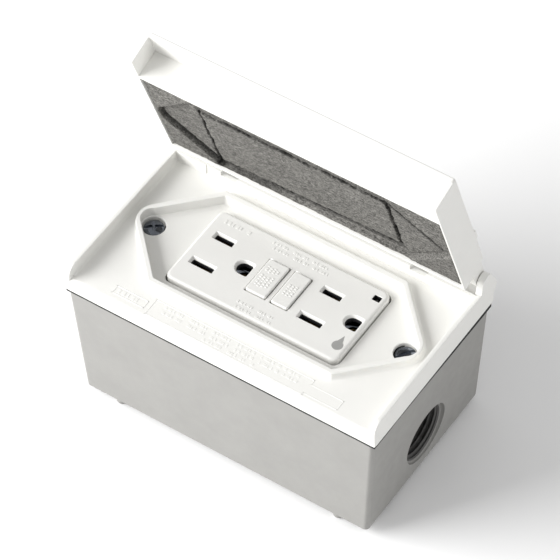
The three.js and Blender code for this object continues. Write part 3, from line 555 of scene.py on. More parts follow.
def make_box():
    low, high = corners("box_body")
    top, half_x, half_y = high.z, high.x, high.y

    def ring(z, inset, corner):
        t = 1 - z / top
        reach_x, reach_y = half_x - BOX_DRAFT[0] * t - inset, half_y - BOX_DRAFT[1] * t - inset
        return at_height(rectangle(reach_x, reach_y, max(corner, 0.5), steps=8), z)

    rings = []
    for k in range(5):
        a = math.pi / 2 * k / 4
        inset = BOX_FILLET * (1 - math.sin(a))
        rings.append(ring(BOX_FILLET * (1 - math.cos(a)), inset, BOX_CORNER - inset * 0.5))
    rings += [ring(z, inset, BOX_CORNER)
              for z, inset in [(top - 0.2, 0), (top, 0.2), (top, BOX_WALL - 0.2), (top - 0.2, BOX_WALL),
                               (BOX_BACK + 1.2, BOX_WALL), (BOX_BACK + 0.3, BOX_WALL + 0.3),
                               (BOX_BACK, BOX_WALL + 1.2)]]
    box = loft(rings)

    end = half_x - BOX_DRAFT[0] * (1 - CONDUIT_Z / top)
    inner = end - BOX_WALL
    fuse(box, *both(disc("x", BOSS_RADIUS, (inner - BOSS_DEPTH, inner + 1), (0, CONDUIT_Z), 0.4)))
    fuse(box, *both(block((LUG_START, half_x - 1.5), (-LUG_HALF, LUG_HALF), LUG_HEIGHTS, 0.4)))
    fuse(box, disc("z", GROUND_BOSS_RADIUS, (BOX_BACK - 0.5, BOX_BACK + GROUND_BOSS_HEIGHT), GROUND_BOSS,
                   0.3, 32))
    for x in (-FOOT_X, FOOT_X):
        for y in (-FOOT_Y, FOOT_Y):
            fuse(box, disc("z", FOOT_RADIUS, (low.z, 1), (x, y), 0.45, 32))
    mouth = end - MOUTH_DEPTH
    carve(box, threaded_cutter(inner - THREAD_START, mouth))
    carve(box, lathe([(-mouth - 4, MOUTH_RADIUS), (-mouth - 0.3, MOUTH_RADIUS), (-mouth, MOUTH_RADIUS - 0.3),
                      (-mouth, CONDUIT_RADIUS), (THREAD_START - inner, CONDUIT_RADIUS)],
                     "x", (0, CONDUIT_Z)))
    for x in (COVER_SCREW_X, DEVICE_SCREW_X, -DEVICE_SCREW_X, -COVER_SCREW_X):
        carve(box, disc("z", TAPPED_RADIUS, TAPPED_HEIGHTS, (x, 0), segments=24))
    carve(box, disc("z", TAPPED_RADIUS, (BOX_BACK + 0.8, 12), GROUND_BOSS, segments=24))
    casting = piece(tidy(box, 0.2), "box_casting", "enclosure", "casting", "box_body")

    # faces inside the threaded bore, which get the painted bore shade
    def in_bore(ring, _):
        return all(abs(p.x) > inner - 5 and math.hypot(p.y, p.z - CONDUIT_Z) < CONDUIT_RADIUS + 0.6
                   for p in ring)

    second_material(casting, BORE_PAINTED_SHADE, in_bore)


def make_plug():
    low, high = corners("closure_plug")
    reach, rim = CONDUIT_RADIUS - 0.3, MOUTH_RADIUS - 0.35
    slot_half, slot_width, dish_radius, wall = 7, 2, 8.6, 2.3
    plug = lathe([(low.x, rim - 0.4), (low.x + 0.12, rim - 0.1), (low.x + 0.4, rim), (low.x + 1.1, rim),
                  (low.x + 1.12, reach), (high.x - 0.6, reach), (high.x, reach - 0.6)],
                 "x", (0, CONDUIT_Z), 64)
    slot = block((low.x - 1, low.x + 0.9), (-slot_half, slot_half),
                 (CONDUIT_Z - slot_width / 2, CONDUIT_Z + slot_width / 2), 0.15)
    dish = lathe([(low.x - 1, dish_radius), (low.x, dish_radius), (low.x + 0.35, dish_radius - 0.6)],
                 "x", (0, CONDUIT_Z), 64)
    hollow = disc("x", reach - wall, (low.x + 2.4, high.x + 2), (0, CONDUIT_Z))
    carve(plug, dish, slot, hollow)
    piece(tidy(plug), "entry_plug", "enclosure", "casting", "closure_plug")


def make_gasket():
    """The sheet under the cover: its edge wanders slightly, and it sags by 1 mm along part of the +X end."""
    low, high = corners("box_gasket")
    signs = [(-1, -1), (1, -1), (1, 1), (-1, 1)]

    def edge(half_x, half_y, wander, seed):
        outline = []
        count = 120
        for (x0, y0), (x1, y1) in zip(signs, signs[1:] + signs[:1]):
            for k in range(count):
                t = k / count
                x, y = (x0 + (x1 - x0) * t) * half_x, (y0 + (y1 - y0) * t) * half_y
                inset = wander * (0.5 + 0.5 * noise.noise(Vector((x * 0.16, y * 0.16, seed))))
                outline.append((x * (1 - inset / half_x), y * (1 - inset / half_y)))
        return outline

    outer, inner = edge(high.x + 0.1, high.y, 0.15, 3.1), edge(*INNER_OPENING, 0.4, 7.7)
    bm = bmesh.new()
    loops = [[bm.verts.new((*p, z)) for p in outline]
             for outline, z in ((outer, low.z), (outer, high.z), (inner, high.z), (inner, low.z))]
    for a, b in zip(loops, loops[1:] + loops[:1]):
        bridge(bm, a, b)
    for vertex in loops[0]:
        droop = step(vertex.co.x, high.x - 0.4, high.x - 0.1) * step(vertex.co.y, *GASKET_DROOP)
        vertex.co.z -= droop
    piece(finish_mesh(bm), "gasket_sheet", "enclosure", "gasket", "box_gasket")


# ---------------------------------------------------------------- cover

def make_cover():
    low, high = corners("cover_base")
    half, front, back, bottom = high.x, low.y, COVER_BACK, low.z
    centre_y, edge = (front + back) / 2, 1.7
    rings = [at_height(rectangle(half - 0.2, (back - front) / 2 - 0.2, 1.1, (0, centre_y)), bottom),
             at_height(rectangle(half, (back - front) / 2, 1.2, (0, centre_y)), bottom + 0.2)]
    for k in range(6):
        a = math.pi / 2 * k / 5
        inset = edge * (1 - math.cos(a))
        rings.append(at_height(rectangle(half, (back - front - inset) / 2, 1.2, (0, centre_y + inset / 2)),
                               COVER_FLOOR - edge + edge * math.sin(a)))
    cover = loft(rings)
    span = (-half + 0.5, half - 0.5)
    add_cover_walls(cover, half, front, back, bottom)
    fuse(cover, block(span, (BACK_WALL_FRONT, BACK_WALL_BACK), (COVER_FLOOR - 1, WALL_TOP), 0.3))
    fuse(cover, block(span, (BACK_WALL_BACK - 0.7, back), (COVER_FLOOR - 2, LEDGE_TOP), 0.5, 3))
    add_hinge_ears(cover, half)
    shape_recess(cover, bottom)
    carve(cover, prism(rectangle(*INNER_OPENING, 2), bottom - 1, HUB_BOTTOM))
    carve(cover, *both(block(STRAP_POCKET_X, (-STRAP_POCKET_HALF, STRAP_POCKET_HALF),
                             (bottom - 1, HUB_BOTTOM + STRAP_POCKET_DEPTH))))
    carve(cover, *both(block(NOTCH_X, (BACK_WALL_FRONT - 1, BACK_WALL_BACK + 0.6),
                             (WALL_TOP - NOTCH_DEPTH, WALL_TOP + 2), 0.2)))
    carve(cover, block(GROOVE_X, (BACK_WALL_FRONT - 1, BACK_WALL_FRONT + 0.5), (COVER_FLOOR + 0.6, 62), 0.1))
    carve(cover, *both(disc("x", PIN_HOLE, (50, half - PIN_SKIN), (HINGE_Y, HINGE_Z), segments=32)))
    piece(tidy(cover, 0.2), "cover_frame", "enclosure", "cover", "cover_base")


def add_cover_walls(cover, half, front, back, bottom):
    """The two end walls, and the fillet where each meets the floor."""
    def wall_outline(inset):
        low, high = bottom + inset, WALL_TOP - inset
        return rounded([(front + inset, low, 0.3), (back - inset, low, 0.3),
                        (back - inset, high, 0.8), (front + inset, high, 4.0 - inset)], 8)

    inner = half - COVER_WALL
    side = loft([at_station(wall_outline(inset), x)
                 for inset, x in [(0.4, inner), (0.1, inner + 0.12), (0, inner + 0.4), (0, half - 0.45),
                                  (0.12, half - 0.12), (0.45, half)]])
    fuse(cover, *both(side))
    radius = 1.1
    foot = [(inner + 0.3, COVER_FLOOR - 0.3), (inner + 0.3, COVER_FLOOR + radius)]
    foot += [(inner - radius + radius * math.cos(a), COVER_FLOOR + radius - radius * math.sin(a))
             for a in arc(0, math.pi / 2, 5)]
    foot += [(inner - radius, COVER_FLOOR - 0.3)]
    fillet = loft([[(x, y, z) for x, z in foot] for y in (front + 2.2, BACK_WALL_FRONT + 0.5)])
    fuse(cover, *both(fillet))


def add_hinge_ears(cover, half):
    """A rounded tongue at each end: a wide base, then an arc round the hinge pin."""
    base_y, base_z, base_radius = EAR_BASE
    foot_angle, join_angle, end_angle = -math.acos((COVER_BACK - base_y) / base_radius), 0.35, 2.75
    tongue = [(BACK_WALL_FRONT + 0.6, COVER_FLOOR - 2), (COVER_BACK, COVER_FLOOR - 2)]
    tongue += [(base_y + base_radius * math.cos(a), base_z + base_radius * math.sin(a))
               for a in arc(foot_angle, join_angle, 10)]
    tongue += [(HINGE_Y + EAR_RADIUS * math.cos(a), HINGE_Z + EAR_RADIUS * math.sin(a))
               for a in arc(join_angle, end_angle, 14)]
    ear = loft([at_station(tongue, LID_HALF + 0.3), at_station(tongue, half)])
    soften(ear, 0.25)
    fuse(cover, *both(ear))


def shape_recess(cover, bottom):
    """The six-sided rim and recess, the opening for the device's face and the two screw ways."""
    rim_levels = [(COVER_FLOOR - 1, 1.2), (COVER_FLOOR, 1.2), (COVER_FLOOR + 0.1, 0.72),
                  (COVER_FLOOR + 0.35, 0.33), (COVER_FLOOR + 0.75, 0.08), (COVER_FLOOR + 1.2, 0),
                  (RIM_TOP - 0.45, -0.02), (RIM_TOP - 0.16, -0.12), (RIM_TOP - 0.03, -0.32), (RIM_TOP, -0.6)]
    fuse(cover, loft([at_height(hexagon(RIM_WIDTH + grow), z) for z, grow in rim_levels]))
    recess_levels = [(RECESS_FLOOR, -0.25), (RECESS_FLOOR + 0.08, -0.08), (RECESS_FLOOR + 0.3, 0),
                     (RIM_TOP - 0.45, 0.05), (RIM_TOP - 0.14, 0.14), (RIM_TOP, 0.45), (RIM_TOP + 1, 1.2)]
    carve(cover, loft([at_height(hexagon(grow), z) for z, grow in recess_levels]))
    face = corners("device_face")[1]
    opening = rectangle(face.x + 0.5, face.y + 0.5, FACE_CORNER)
    carve(cover, prism(opening, bottom - 1, COVER_FLOOR + 1))
    way = lathe([(45, SCREW_HOLE), (SCREW_SEAT, SCREW_HOLE), (SCREW_SEAT, SCREW_WAY),
                 (RECESS_FLOOR - 0.25, SCREW_WAY), (RECESS_FLOOR, SCREW_WAY + 0.25),
                 (RECESS_FLOOR + 5, SCREW_WAY + 0.3)], "z", (COVER_SCREW_X, 0))
    carve(cover, *both(way))


def strokes(name, base, height, runs, body, slot):
    """Low raised bars: each run is (centre x, centre y, length, width, angle in degrees)."""
    bm = bmesh.new()
    for cx, cy, length, width, angle in runs:
        turn = Matrix.Rotation(math.radians(angle), 2)
        rings = []
        for z, inset in ((base - 0.05, 0), (base + height * 0.55, 0), (base + height, height * 0.6)):
            a, b = length / 2 - inset, width / 2 - inset
            offsets = [turn @ Vector(corner) for corner in ((a, -b), (a, b), (-a, b), (-a, -b))]
            rings.append([(cx + offset.x, cy + offset.y, z) for offset in offsets])
        skin(bm, rings)
    piece(finish_mesh(bm), name, body, slot)


def dashes(start, end, y, pitch, width, fill):
    """A broken line of short uneven bars along X; every sixth is left out."""
    runs, x, i = [], start, 0
    while x < end:
        length = pitch * fill * (1 + 0.45 * math.sin(i * 2.3))
        if i % 6 != 5:
            runs.append((x + length / 2, y, length, width, 0))
        x += pitch * (1 + 0.2 * math.sin(i * 1.7))
        i += 1
    return runs


def frame_lines(points, width):
    """Thin raised lines along a closed outline."""
    runs = []
    for (x0, y0), (x1, y1) in zip(points, points[1:] + points[:1]):
        length = math.hypot(x1 - x0, y1 - y0) + width
        angle = math.degrees(math.atan2(y1 - y0, x1 - x0))
        runs.append(((x0 + x1) / 2, (y0 + y1) / 2, length, width, angle))
    return runs


def make_cover_marks():
    small = [(-43.6, -31.4), (-31.4, -31.4), (-31.4, -28.3), (-43.6, -28.3)]
    large = [(-29.6, -33.0), (31.2, -33.0), (31.2, -32.2), (43.9, -32.2), (43.9, -28.2), (31.6, -28.2),
             (31.6, -26.2), (-29.6, -26.2)]
    runs = frame_lines(small, 0.3) + frame_lines(large, 0.3)
    runs += dashes(-42.2, -32.6, -29.85, 1.7, 1.7, 0.5)
    for start, end, y in ((-25.5, 26, -27.4), (-25, 27, -29.6), (-8, 12, -31.6)):
        runs += dashes(start, end, y, 1.55, 1.1, 0.55)
    strokes("cover_relief", COVER_FLOOR, 0.07, runs, "enclosure", "cover")


# ---------------------------------------------------------------- lid

def make_lid():
    under = LID_TOP - LID_PLATE
    inner = LID_HALF - LID_WALL
    centre = (0, (LID_FRONT + LID_BACK) / 2)
    half_y = (LID_BACK - LID_FRONT) / 2
    lid = loft([at_height(rectangle(LID_HALF - inset, half_y - inset, 0.9 - inset * 0.5, centre), z)
                for z, inset in [(under, 0.0)] + rounded_levels(under + 0.1, LID_TOP, 0.55, 3)])
    deep, soft = (LID_RIM, under + 0.4), 0.22
    across = (-LID_HALF + 0.02, LID_HALF - 0.02)
    end = block((inner, LID_HALF), (LID_FRONT + 0.05, LID_BACK + LID_REAR_WALL - 0.1), deep, soft)
    fuse(lid, *both(end))
    fuse(lid, block((-inner - 0.4, inner + 0.4), (SKIRT_FRONT, SKIRT_FRONT + SKIRT), deep, soft))
    fuse(lid, block(across, (LID_BACK - 0.1, LID_BACK - 0.1 + LID_REAR_WALL), deep, soft))
    arm = [(LID_BACK + 0.4, ARM_BOTTOM), (HINGE_Y, ARM_BOTTOM), (HINGE_Y, ARM_TOP), (LID_BACK + 0.4, ARM_TOP)]
    knuckle = fuse(loft([at_station(arm, KNUCKLE_INNER), at_station(arm, LID_HALF)]),
                   disc("x", KNUCKLE_RADIUS, (KNUCKLE_INNER, LID_HALF), (HINGE_Y, HINGE_Z), segments=40))
    fuse(lid, *both(knuckle))
    fuse(lid, block(across, LID_RIB, (LID_TOP - 0.3, LID_TOP + LID_RIB_HEIGHT), 0.28))
    carve(lid, disc("x", LID_PIN_HOLE, (-70, 70), (HINGE_Y, HINGE_Z), segments=32))
    piece(swing_open(tidy(lid, 0.2)), "lid_shell", "lid", "cover", "lid")


# marks in the pad: the rim's six-sided imprint, the die-cut rectangle and the fold beside it
IMPRINT = {"flat": 36.3, "half": 23.3, "tip": 58.3, "blunt": 2.9}
KNOCKOUT = {"left": -37.5, "right": 33.5, "front": -13.6, "back": 20.0, "skew": -0.06}
FOLD_START, FOLD_END = Vector((33.4, -13.8)), Vector((51.4, 4.7))
FOAM_FACE, FOAM_PRESSED, FOAM_SPACING = 55.85, 1.75, 0.3


def imprint_distance(x, y):
    """Distance outside the hexagon that the cover's rim has pressed into the pad; negative inside."""
    half, tip = IMPRINT["half"], IMPRINT["tip"]
    normal = Vector((half, tip - IMPRINT["flat"])).normalized()
    slope = normal.x * (abs(x) - tip) + normal.y * abs(y)
    return max(slope, abs(y) - half, abs(x) - tip + IMPRINT["blunt"])


def knockout_reach(x, y):
    """Distances outside the die-cut rectangle along X and along Y; negative inside."""
    return (max(KNOCKOUT["left"] - x, x - KNOCKOUT["right"]),
            max(KNOCKOUT["front"] - y, y - KNOCKOUT["back"] - KNOCKOUT["skew"] * x))


def fold_distance(x, y):
    """Distance from the diagonal fold that runs from the rectangle's corner towards the +X apex."""
    along = (FOLD_END - FOLD_START).normalized()
    offset = Vector((x, y)) - FOLD_START
    past = max(0.0, -offset.dot(along), offset.dot(along) - (FOLD_END - FOLD_START).length)
    return math.hypot(offset.x * along.y - offset.y * along.x, past)


def ridge(distance, width):
    """1 on a line, falling smoothly to 0 within about twice the width."""
    return math.exp(-(distance / width) ** 2)


def rough(x, y, scale, seed):
    return noise.noise(Vector((x * scale, y * scale, seed)))


def step(value, low, high):
    """0 up to the low value, 1 from the high one, and a smooth rise between them."""
    t = max(0.0, min(1.0, (value - low) / (high - low)))
    return t * t * (3 - 2 * t)


def foam_depth(x, y):
    """Height of the pad's visible face on the closed lid; it points down, so more is deeper."""
    wave = 0.55 * math.sin(y * 0.42 + x * 0.05) + 0.3 * math.sin(y * 0.95 + 1.3)
    ripple = 0.35 * math.sin(x * 0.33) + 0.2 * math.sin(x * 0.8 + 2)
    outside = imprint_distance(x, y)
    depth = FOAM_FACE + FOAM_PRESSED * step(-outside, -0.2, 0.4)
    depth += 0.3 * ridge(outside + 0.7, 0.3)
    reach_x, reach_y = knockout_reach(x, y)
    edge = max(reach_x + wave * 0.5, reach_y + ripple * 0.7)
    jag = edge + 0.5 * rough(x, y, 0.9, 8.8)
    depth -= 0.25 * step(-jag, -0.1, 0.4) * step(16 - y, 0, 3)
    depth += 2.3 * ridge(jag, 0.36) + 0.6 * ridge(fold_distance(x, y), 0.5)
    front = 0.4 * step(KNOCKOUT["front"] - 0.8 - y, 0, 0.6)
    depth += front * (0.5 + 0.35 * math.sin((y + 17) * 3.2) + 0.12 * math.sin(x * 0.9 + y))
    back = 0.35 * step(reach_y - 0.8, 0, 0.5) * step(HEX_FLAT + 3 - abs(x), 0, 3) * step(y, -2, 2)
    depth += back * (0.6 + 0.5 * math.sin(y * 3.6 + 0.4 * math.sin(x * 0.5)))
    return depth + 0.16 * rough(x, y, 0.55, 1.7) + 0.09 * rough(x, y, 1.7, 5.2)


def foam_painted_shade(x, y):
    """How much painted shade the die-cut rectangle, the pressed creases and the fold get: 0 for plain foam, 1 for
    the shade of a deep cut.
    """
    wander = 0.45 * rough(x, y, 0.8, 3.3) + 0.25 * rough(x, y, 2.1, 6.1)
    reach_x, reach_y = knockout_reach(x, y)
    edge = max(reach_x, reach_y) + wander
    cut = 0.95 * ridge(edge, 0.85 if reach_y > reach_x else 0.55)
    if reach_x < 1.5:
        second, band = (0.55, 0.5) if y > 0 else (0.4, 0.3)
        cut = max(cut, second * ridge(reach_y - 1.7 + wander, 0.45))
        cut = max(cut, band * step(reach_y + wander, -0.6, 0.4) * step(2.8 - reach_y, 0, 0.8))
    # the painted crease shade is stronger where x and y have opposite signs
    strength = 0.8 if x * y < 0 else 0.25
    crease = strength * ridge(imprint_distance(x, y) + 0.35 + wander * 0.1, 0.3)
    fold = 0.8 * ridge(fold_distance(x, y), 0.85)
    return min(1.0, max(cut, fold, crease * step(abs(x), 33.0, 37.0)))


def make_foam():
    low_y, high_y = SKIRT_FRONT + SKIRT + 0.1, LID_BACK - 0.3
    half, top = LID_HALF - LID_WALL - 0.1, LID_TOP - LID_PLATE - 0.15
    columns, rows = int(2 * half / FOAM_SPACING), int((high_y - low_y) / FOAM_SPACING)
    bm = bmesh.new()
    darkness = bm.verts.layers.float.new("cut")
    grid = []
    for j in range(rows + 1):
        y = low_y + (high_y - low_y) * j / rows
        line = []
        for i in range(columns + 1):
            x = -half + 2 * half * i / columns
            rim = min(half - abs(x), y - low_y, high_y - y)
            soft = 0.5 * (1 - step(rim, 0, 0.9))
            vertex = bm.verts.new((x, y, foam_depth(x, y) + soft))
            # each vertex stores its painted shade in the 'cut' layer
            vertex[darkness] = foam_painted_shade(x, y)
            line.append(vertex)
        grid.append(line)
    for a, b in zip(grid, grid[1:]):
        for i in range(columns):
            bm.faces.new((a[i], b[i], b[i + 1], a[i + 1]))
    border = grid[0] + [row[-1] for row in grid[1:]]
    border += grid[-1][-2::-1] + [row[0] for row in grid[-2:0:-1]]
    lifted = [bm.verts.new((v.co.x, v.co.y, top)) for v in border]
    bridge(bm, border, lifted)
    bm.faces.new(lifted)
    foam = piece(swing_open(finish_mesh(bm)), "lid_pad", "lid", "foam", "lid_foam_pad")


# ---------------------------------------------------------------- device face

def flared(centre, length, width, radius, levels):
    """A rectangular cutter that grows outwards by the second number of each level."""
    return loft([at_height(rectangle(length / 2 + grow, width / 2 + grow, radius, centre, 2), z)
                 for z, grow in levels])


def slot_cutter(x, y, length):
    """A blade slot whose mouth slopes in from the face."""
    levels = [(CUTTER_START, 0), (FACE_TOP - FUNNEL_DEPTH, 0), (FACE_TOP - 0.12, FUNNEL),
              (FACE_TOP, FUNNEL + 0.12), (FACE_TOP + 1, FUNNEL + 0.3)]
    return flared((x, y), length, SLOT_WIDTH, 0.25, levels)


def ground_outline(radius, x):
    """Round towards -X and flat towards +X."""
    bow = [(x + radius * math.cos(a), radius * math.sin(a)) for a in arc(math.pi / 2, math.pi * 1.5, 24)]
    soft = radius * 0.22
    return bow + [(x + radius - soft, -radius), (x + radius - soft * 0.3, -radius + soft * 0.3),
                  (x + radius, -radius + soft), (x + radius, radius - soft),
                  (x + radius - soft * 0.3, radius - soft * 0.3), (x + radius - soft, radius)]


def ground_cutter(x):
    levels = [(CUTTER_START, 0), (FACE_TOP - FUNNEL_DEPTH, 0), (FACE_TOP - 0.15, FUNNEL),
              (FACE_TOP, FUNNEL + 0.15), (FACE_TOP + 1, FUNNEL + 0.3)]
    return loft([at_height(ground_outline(GROUND_RADIUS + grow, x), z) for z, grow in levels])


def make_face():
    low, high = corners("device_face")
    levels = [(low.z, 0), (FACE_TOP - 0.95, 0), (FACE_TOP - 0.6, 0.1), (FACE_TOP - 0.28, 0.35),
              (FACE_TOP - 0.08, 0.7), (FACE_TOP, 1.1)]
    face = loft([at_height(rectangle(high.x - inset, high.y - inset, FACE_CORNER - inset * 0.4, steps=8), z)
                 for z, inset in levels])
    carve(face, prism(rectangle(high.x - FACE_WALL, high.y - FACE_WALL, 1), low.z - 1, FACE_TOP - FACE_SKIN))
    for x in OUTLET_X:
        for side, length in SLOT_LENGTHS.items():
            carve(face, slot_cutter(x, side * SLOT_Y, length))
        carve(face, ground_cutter(x + GROUND_OFFSET))
    for x0, x1 in BUTTONS.values():
        centre, half = ((x0 + x1) / 2, 0), (x1 - x0) / 2
        levels = [(CUTTER_START, 0), (FACE_TOP - 0.2, 0), (FACE_TOP, 0.2), (FACE_TOP + 1, 0.5)]
        carve(face, loft([at_height(rectangle(half + grow, BUTTON_HALF + grow, 0.4 + grow, centre, 3), z)
                          for z, grow in levels]))
    x, y, length, width = LAMP_WINDOW
    levels = [(CUTTER_START, 0), (FACE_TOP - 0.12, 0), (FACE_TOP, 0.12), (FACE_TOP + 1, 0.3)]
    carve(face, flared((x, y), length, width, 0.15, levels))
    plate = piece(tidy(face, 0.2), "face_plate", "enclosure", "device_face", "device_face")
    edge_x, edge_y = high.x - FACE_WALL - 0.2, high.y - FACE_WALL - 0.2

    # painted shade: the walls deep inside the slots, ground holes and button openings, and round the lamp window,
    # get the black material in place of their shadow
    def in_shaded_opening(ring, normal):
        deep = all(p.z < FACE_TOP - FUNNEL_DEPTH + 0.05 for p in ring)
        inside = all(abs(p.x) < edge_x and abs(p.y) < edge_y for p in ring)
        window = all(math.hypot(p.x - x, p.y - y) < length and p.z < FACE_TOP - 0.1 for p in ring)
        return (window or deep and inside) and abs(normal.z) < 0.3

    # painted shade on the walls inside the openings
    second_material(plate, MATERIALS["component"], in_shaded_opening)


def make_face_marks():
    runs = dashes(-29.4, -20.2, 12.9, 1.45, 1.5, 0.5)
    for start, end, y in ((-11.2, 11.8, 14.0), (-9.8, 11.6, 11.9)):
        runs += dashes(start, end, y, 1.3, 1.0, 0.5)
    for start, end, y in ((-7.3, 8.0, -12.7), (-6.8, 8.3, -14.9)):
        runs += dashes(start, end, y, 1.3, 1.0, 0.5)
    strokes("face_relief", FACE_TOP, 0.1, runs, "enclosure", "device_face")


def make_drop_mark():
    """A plain raindrop printed in grey by the right-hand outlet."""
    centre, radius, point, half_turn = Vector((30.0, -10.6)), 1.9, 4.4, math.radians(150)
    outline = [centre + Vector((math.sin(a), -math.cos(a))) * radius for a in arc(half_turn, -half_turn, 32)]
    outline.append(centre + Vector((0, point)))
    mark = loft([at_height(outline, FACE_TOP - 0.05), at_height(outline, FACE_TOP + 0.04)])
    piece(mark, "raindrop_print", "enclosure", "device_face", material=GREY_PRINT)


def make_button(name):
    x0, x1 = BUTTONS[name]
    centre = ((x0 + x1) / 2, 0)
    half = (x1 - x0) / 2 - BUTTON_CLEAR
    length = BUTTON_HALF - BUTTON_CLEAR
    cap = loft([at_height(rectangle(half - inset, length - inset, max(0.55 - inset * 0.5, 0.2), centre, 4), z)
                for z, inset in rounded_levels(BUTTON_BOTTOM + 2.4, BUTTON_TOP, 0.4, 4)])
    stem_x, stem_y = 2.4, 4.5
    fuse(cap, block((centre[0] - stem_x, centre[0] + stem_x), (-stem_y, stem_y),
                    (BUTTON_BOTTOM, BUTTON_BOTTOM + 2.6), 0.2))
    under = FACE_TOP - FACE_SKIN - 0.3
    flange = block((x0 + 0.3, x1 - 0.3), (-BUTTON_HALF - 0.6, BUTTON_HALF + 0.6), (under - 1.2, under), 0.15)
    fuse(cap, flange)
    piece(tidy(cap, 0.2), f"{name}_cap", name, "button", f"{name}_button")


def make_button_marks(name, columns):
    x0, x1 = BUTTONS[name]
    runs = []
    for offset, start, end in columns:
        for cx, cy, length, width, _ in dashes(start, end, offset, 1.05, 0.75, 0.5):
            runs.append(((x0 + x1) / 2 + cy, cx, length, width, 90))
    strokes(f"{name}_relief", BUTTON_TOP, 0.11, runs, name, "button")


# ---------------------------------------------------------------- the buttons' springs

def make_reset_spring():
    """A coil of round wire."""
    low, high = corners("reset_spring")
    middle = (low + high) / 2
    wire, turns, steps = 0.3, 4.5, 180
    radius = (high.x - low.x) / 2 - wire
    rings = []
    for i in range(steps + 1):
        t = i / steps
        a = 2 * math.pi * turns * t
        z = low.z + wire + (high.z - low.z - 2 * wire) * t
        ring = []
        for k in range(10):
            b = 2 * math.pi * k / 10
            reach = radius + wire * math.cos(b)
            ring.append((middle.x + reach * math.cos(a), middle.y + reach * math.sin(a),
                         z + wire * math.sin(b)))
        rings.append(ring)
    coil = piece(loft(rings), "reset_coil", "enclosure", "steel", "reset_spring")
    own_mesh(coil)


def make_test_leaf():
    """A bent strip."""
    low, high = corners("test_leaf_spring")
    thick = 0.5
    outline = rounded([(high.y, low.z, 0.1), (4.4, low.z, 1.0), (-4.6, high.z - thick, 1.0),
                       (low.y, high.z - thick, 0.1), (low.y, high.z, 0.1), (-4.4, high.z, 1.5),
                       (4.6, low.z + thick, 0.5), (high.y, low.z + thick, 0.1)], 4)
    leaf = loft([at_station(outline, low.x), at_station(outline, high.x)])
    strip = piece(leaf, "test_leaf", "enclosure", "brass", "test_leaf_spring")
    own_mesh(strip)


# ---------------------------------------------------------------- screws

def make_cover_screw(node, name, crossed):
    low, high = corners(node)
    x, y = (low.x + high.x) / 2, (low.y + high.y) / 2
    radius, height = (high.x - low.x) / 2, 1.6
    base = high.z - height
    shank, edge = 1.7, 0.35
    profile = [(low.z, shank - 0.2), (low.z + 0.3, shank), (base, shank), (base, radius * 0.9),
               (base + 0.12, radius * 0.98)]
    profile += [(base + edge + (height - edge) * math.sin(a) ** 1.15, radius * (1 - 0.86 * (1 - math.cos(a))))
                for a in arc(0, math.pi / 2, 6)]
    screw = lathe(profile, "z", (x, y), 56)
    turn, slot_half = math.radians(38 if crossed else 58), 0.55
    tools = [block((-radius - 1, radius + 1), (-slot_half, slot_half), (high.z - 0.95, high.z + 1), 0.05)]
    if crossed:
        for angle in (0, math.pi / 2):
            tip = [(-0.9, -0.35), (0.9, -0.35), (0.9, 0.35), (-0.9, 0.35)]
            mouth = [(-2.1, -slot_half), (2.1, -slot_half), (2.1, slot_half), (-2.1, slot_half)]
            wing = loft([at_height(tip, high.z - 1.35), at_height(mouth, high.z + 0.1)])
            wing.data.transform(Matrix.Rotation(angle, 4, "Z"))
            tools.append(wing)
    for tool in tools:
        tool.data.transform(Matrix.Translation((x, y, 0)) @ Matrix.Rotation(turn, 4, "Z"))
    carve(screw, *tools)
    piece(tidy(screw, 0.2), name, "enclosure", "steel", node)


# ---------------------------------------------------------------- the pieces

make_box()
make_plug()
make_gasket()
make_cover()
make_cover_marks()
make_lid()
make_foam()
make_face()
make_face_marks()
make_drop_mark()
for button in BUTTONS:
    make_button(button)
make_button_marks("reset", [(-2.2, -4.2, 4.4), (-0.9, -4.6, 4.2), (0.4, -4.2, 4.6), (1.7, -3.8, 4.0)])
make_button_marks("test", [(-1.4, -2.8, 3.6), (-0.1, -3.0, 3.4), (1.2, -2.6, 3.8)])
make_reset_spring()
make_test_leaf()
make_cover_screw("cover_screw_left", "cover_screw_crossed", True)
make_cover_screw("cover_screw_right", "cover_screw_slotted", False)


# ---------------------------------------------------------------- looks of the CAD nodes that are shown

slots = {row["node"]: row["material_slot"] for row in frame["record"]["subparts"]}
for name, node in frame["nodes"].items():
    node.data.materials.clear()
    node.data.materials.append(MATERIALS[slots[name]])
    weld = node.modifiers.new("weld", "WELD")
    weld.merge_threshold = 0.00001
    node.data.shade_smooth()
    node.data.set_sharp_from_angle(angle=math.radians(32))

# ---------------------------------------------------------------- floor, camera and light

low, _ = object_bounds()
floor_bm = bmesh.new()
bmesh.ops.create_grid(floor_bm, x_segments=2, y_segments=2, size=4)
floor = finish_mesh(floor_bm, "studio_floor")
floor.location.z = low.z - 0.0001
floor_material, _, _, shader, _ = node_tree("pale_floor")
shader.inputs["Base Color"].default_value = (*grey(0.93), 1)
shader.inputs["Roughness"].default_value = 0.9
shader.inputs["Specular IOR Level"].default_value = 0.1
floor.data.materials.append(floor_material)

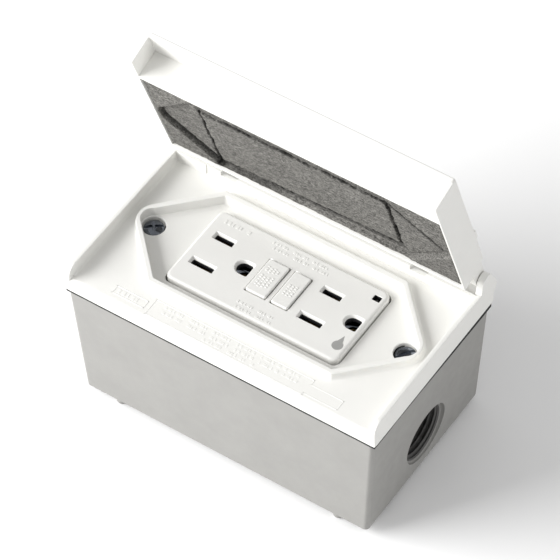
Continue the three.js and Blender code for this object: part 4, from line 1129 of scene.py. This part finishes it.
CAMERA_AZIMUTH, CAMERA_ELEVATION, CAMERA_ROLL = (math.radians(a) for a in (35.357, 50.766, -2.046))
CAMERA_LENS, CAMERA_SENSOR, CAMERA_DISTANCE = 248.32, 36, 1.24622
CAMERA_AIM = Vector((0.00213, -0.00169, 0.06077))
back = Vector((math.sin(CAMERA_AZIMUTH) * math.cos(CAMERA_ELEVATION),
               -math.cos(CAMERA_AZIMUTH) * math.cos(CAMERA_ELEVATION), math.sin(CAMERA_ELEVATION)))
level = Vector((math.cos(CAMERA_AZIMUTH), math.sin(CAMERA_AZIMUTH), 0))
rise = back.cross(level)
right = math.cos(CAMERA_ROLL) * level + math.sin(CAMERA_ROLL) * rise
up = math.cos(CAMERA_ROLL) * rise - math.sin(CAMERA_ROLL) * level
camera = bpy.data.objects.new("camera", bpy.data.cameras.new("camera"))
bpy.context.scene.collection.objects.link(camera)
camera.data.lens = CAMERA_LENS
camera.data.sensor_width = CAMERA_SENSOR
camera.data.clip_start, camera.data.clip_end = 0.05, 30
camera.matrix_world = Matrix.Translation(CAMERA_AIM + back * CAMERA_DISTANCE) @ Matrix(
    (right, up, back)).transposed().to_4x4()
bpy.context.scene.camera = camera


def area_light(name, direction, distance, size, power):
    """A white rectangle that faces the camera's aim from the given direction."""
    light = bpy.data.lights.new(name, "AREA")
    light.shape = "RECTANGLE"
    light.size, light.size_y = size
    light.energy = power
    obj = bpy.data.objects.new(name, light)
    bpy.context.scene.collection.objects.link(obj)
    towards = Vector(direction).normalized()
    obj.location = CAMERA_AIM + towards * distance
    obj.rotation_mode = "QUATERNION"
    obj.rotation_quaternion = towards.to_track_quat("Z", "Y")


area_light("key", direction=(-0.75, -0.6, 0.41), distance=1.3, size=(1.0, 0.8), power=29)
area_light("fill", direction=(0.9, 0.15, 0.5), distance=1.4, size=(1.3, 1.3), power=3.6)
world = bpy.data.worlds.new("studio")
world.use_nodes = True
world.node_tree.nodes["Background"].inputs["Color"].default_value = (1, 1, 1, 1)
world.node_tree.nodes["Background"].inputs["Strength"].default_value = 0.545
bpy.context.scene.world = world
bpy.context.scene.view_settings.view_transform = "Standard"
bpy.context.scene.view_settings.look = "None"
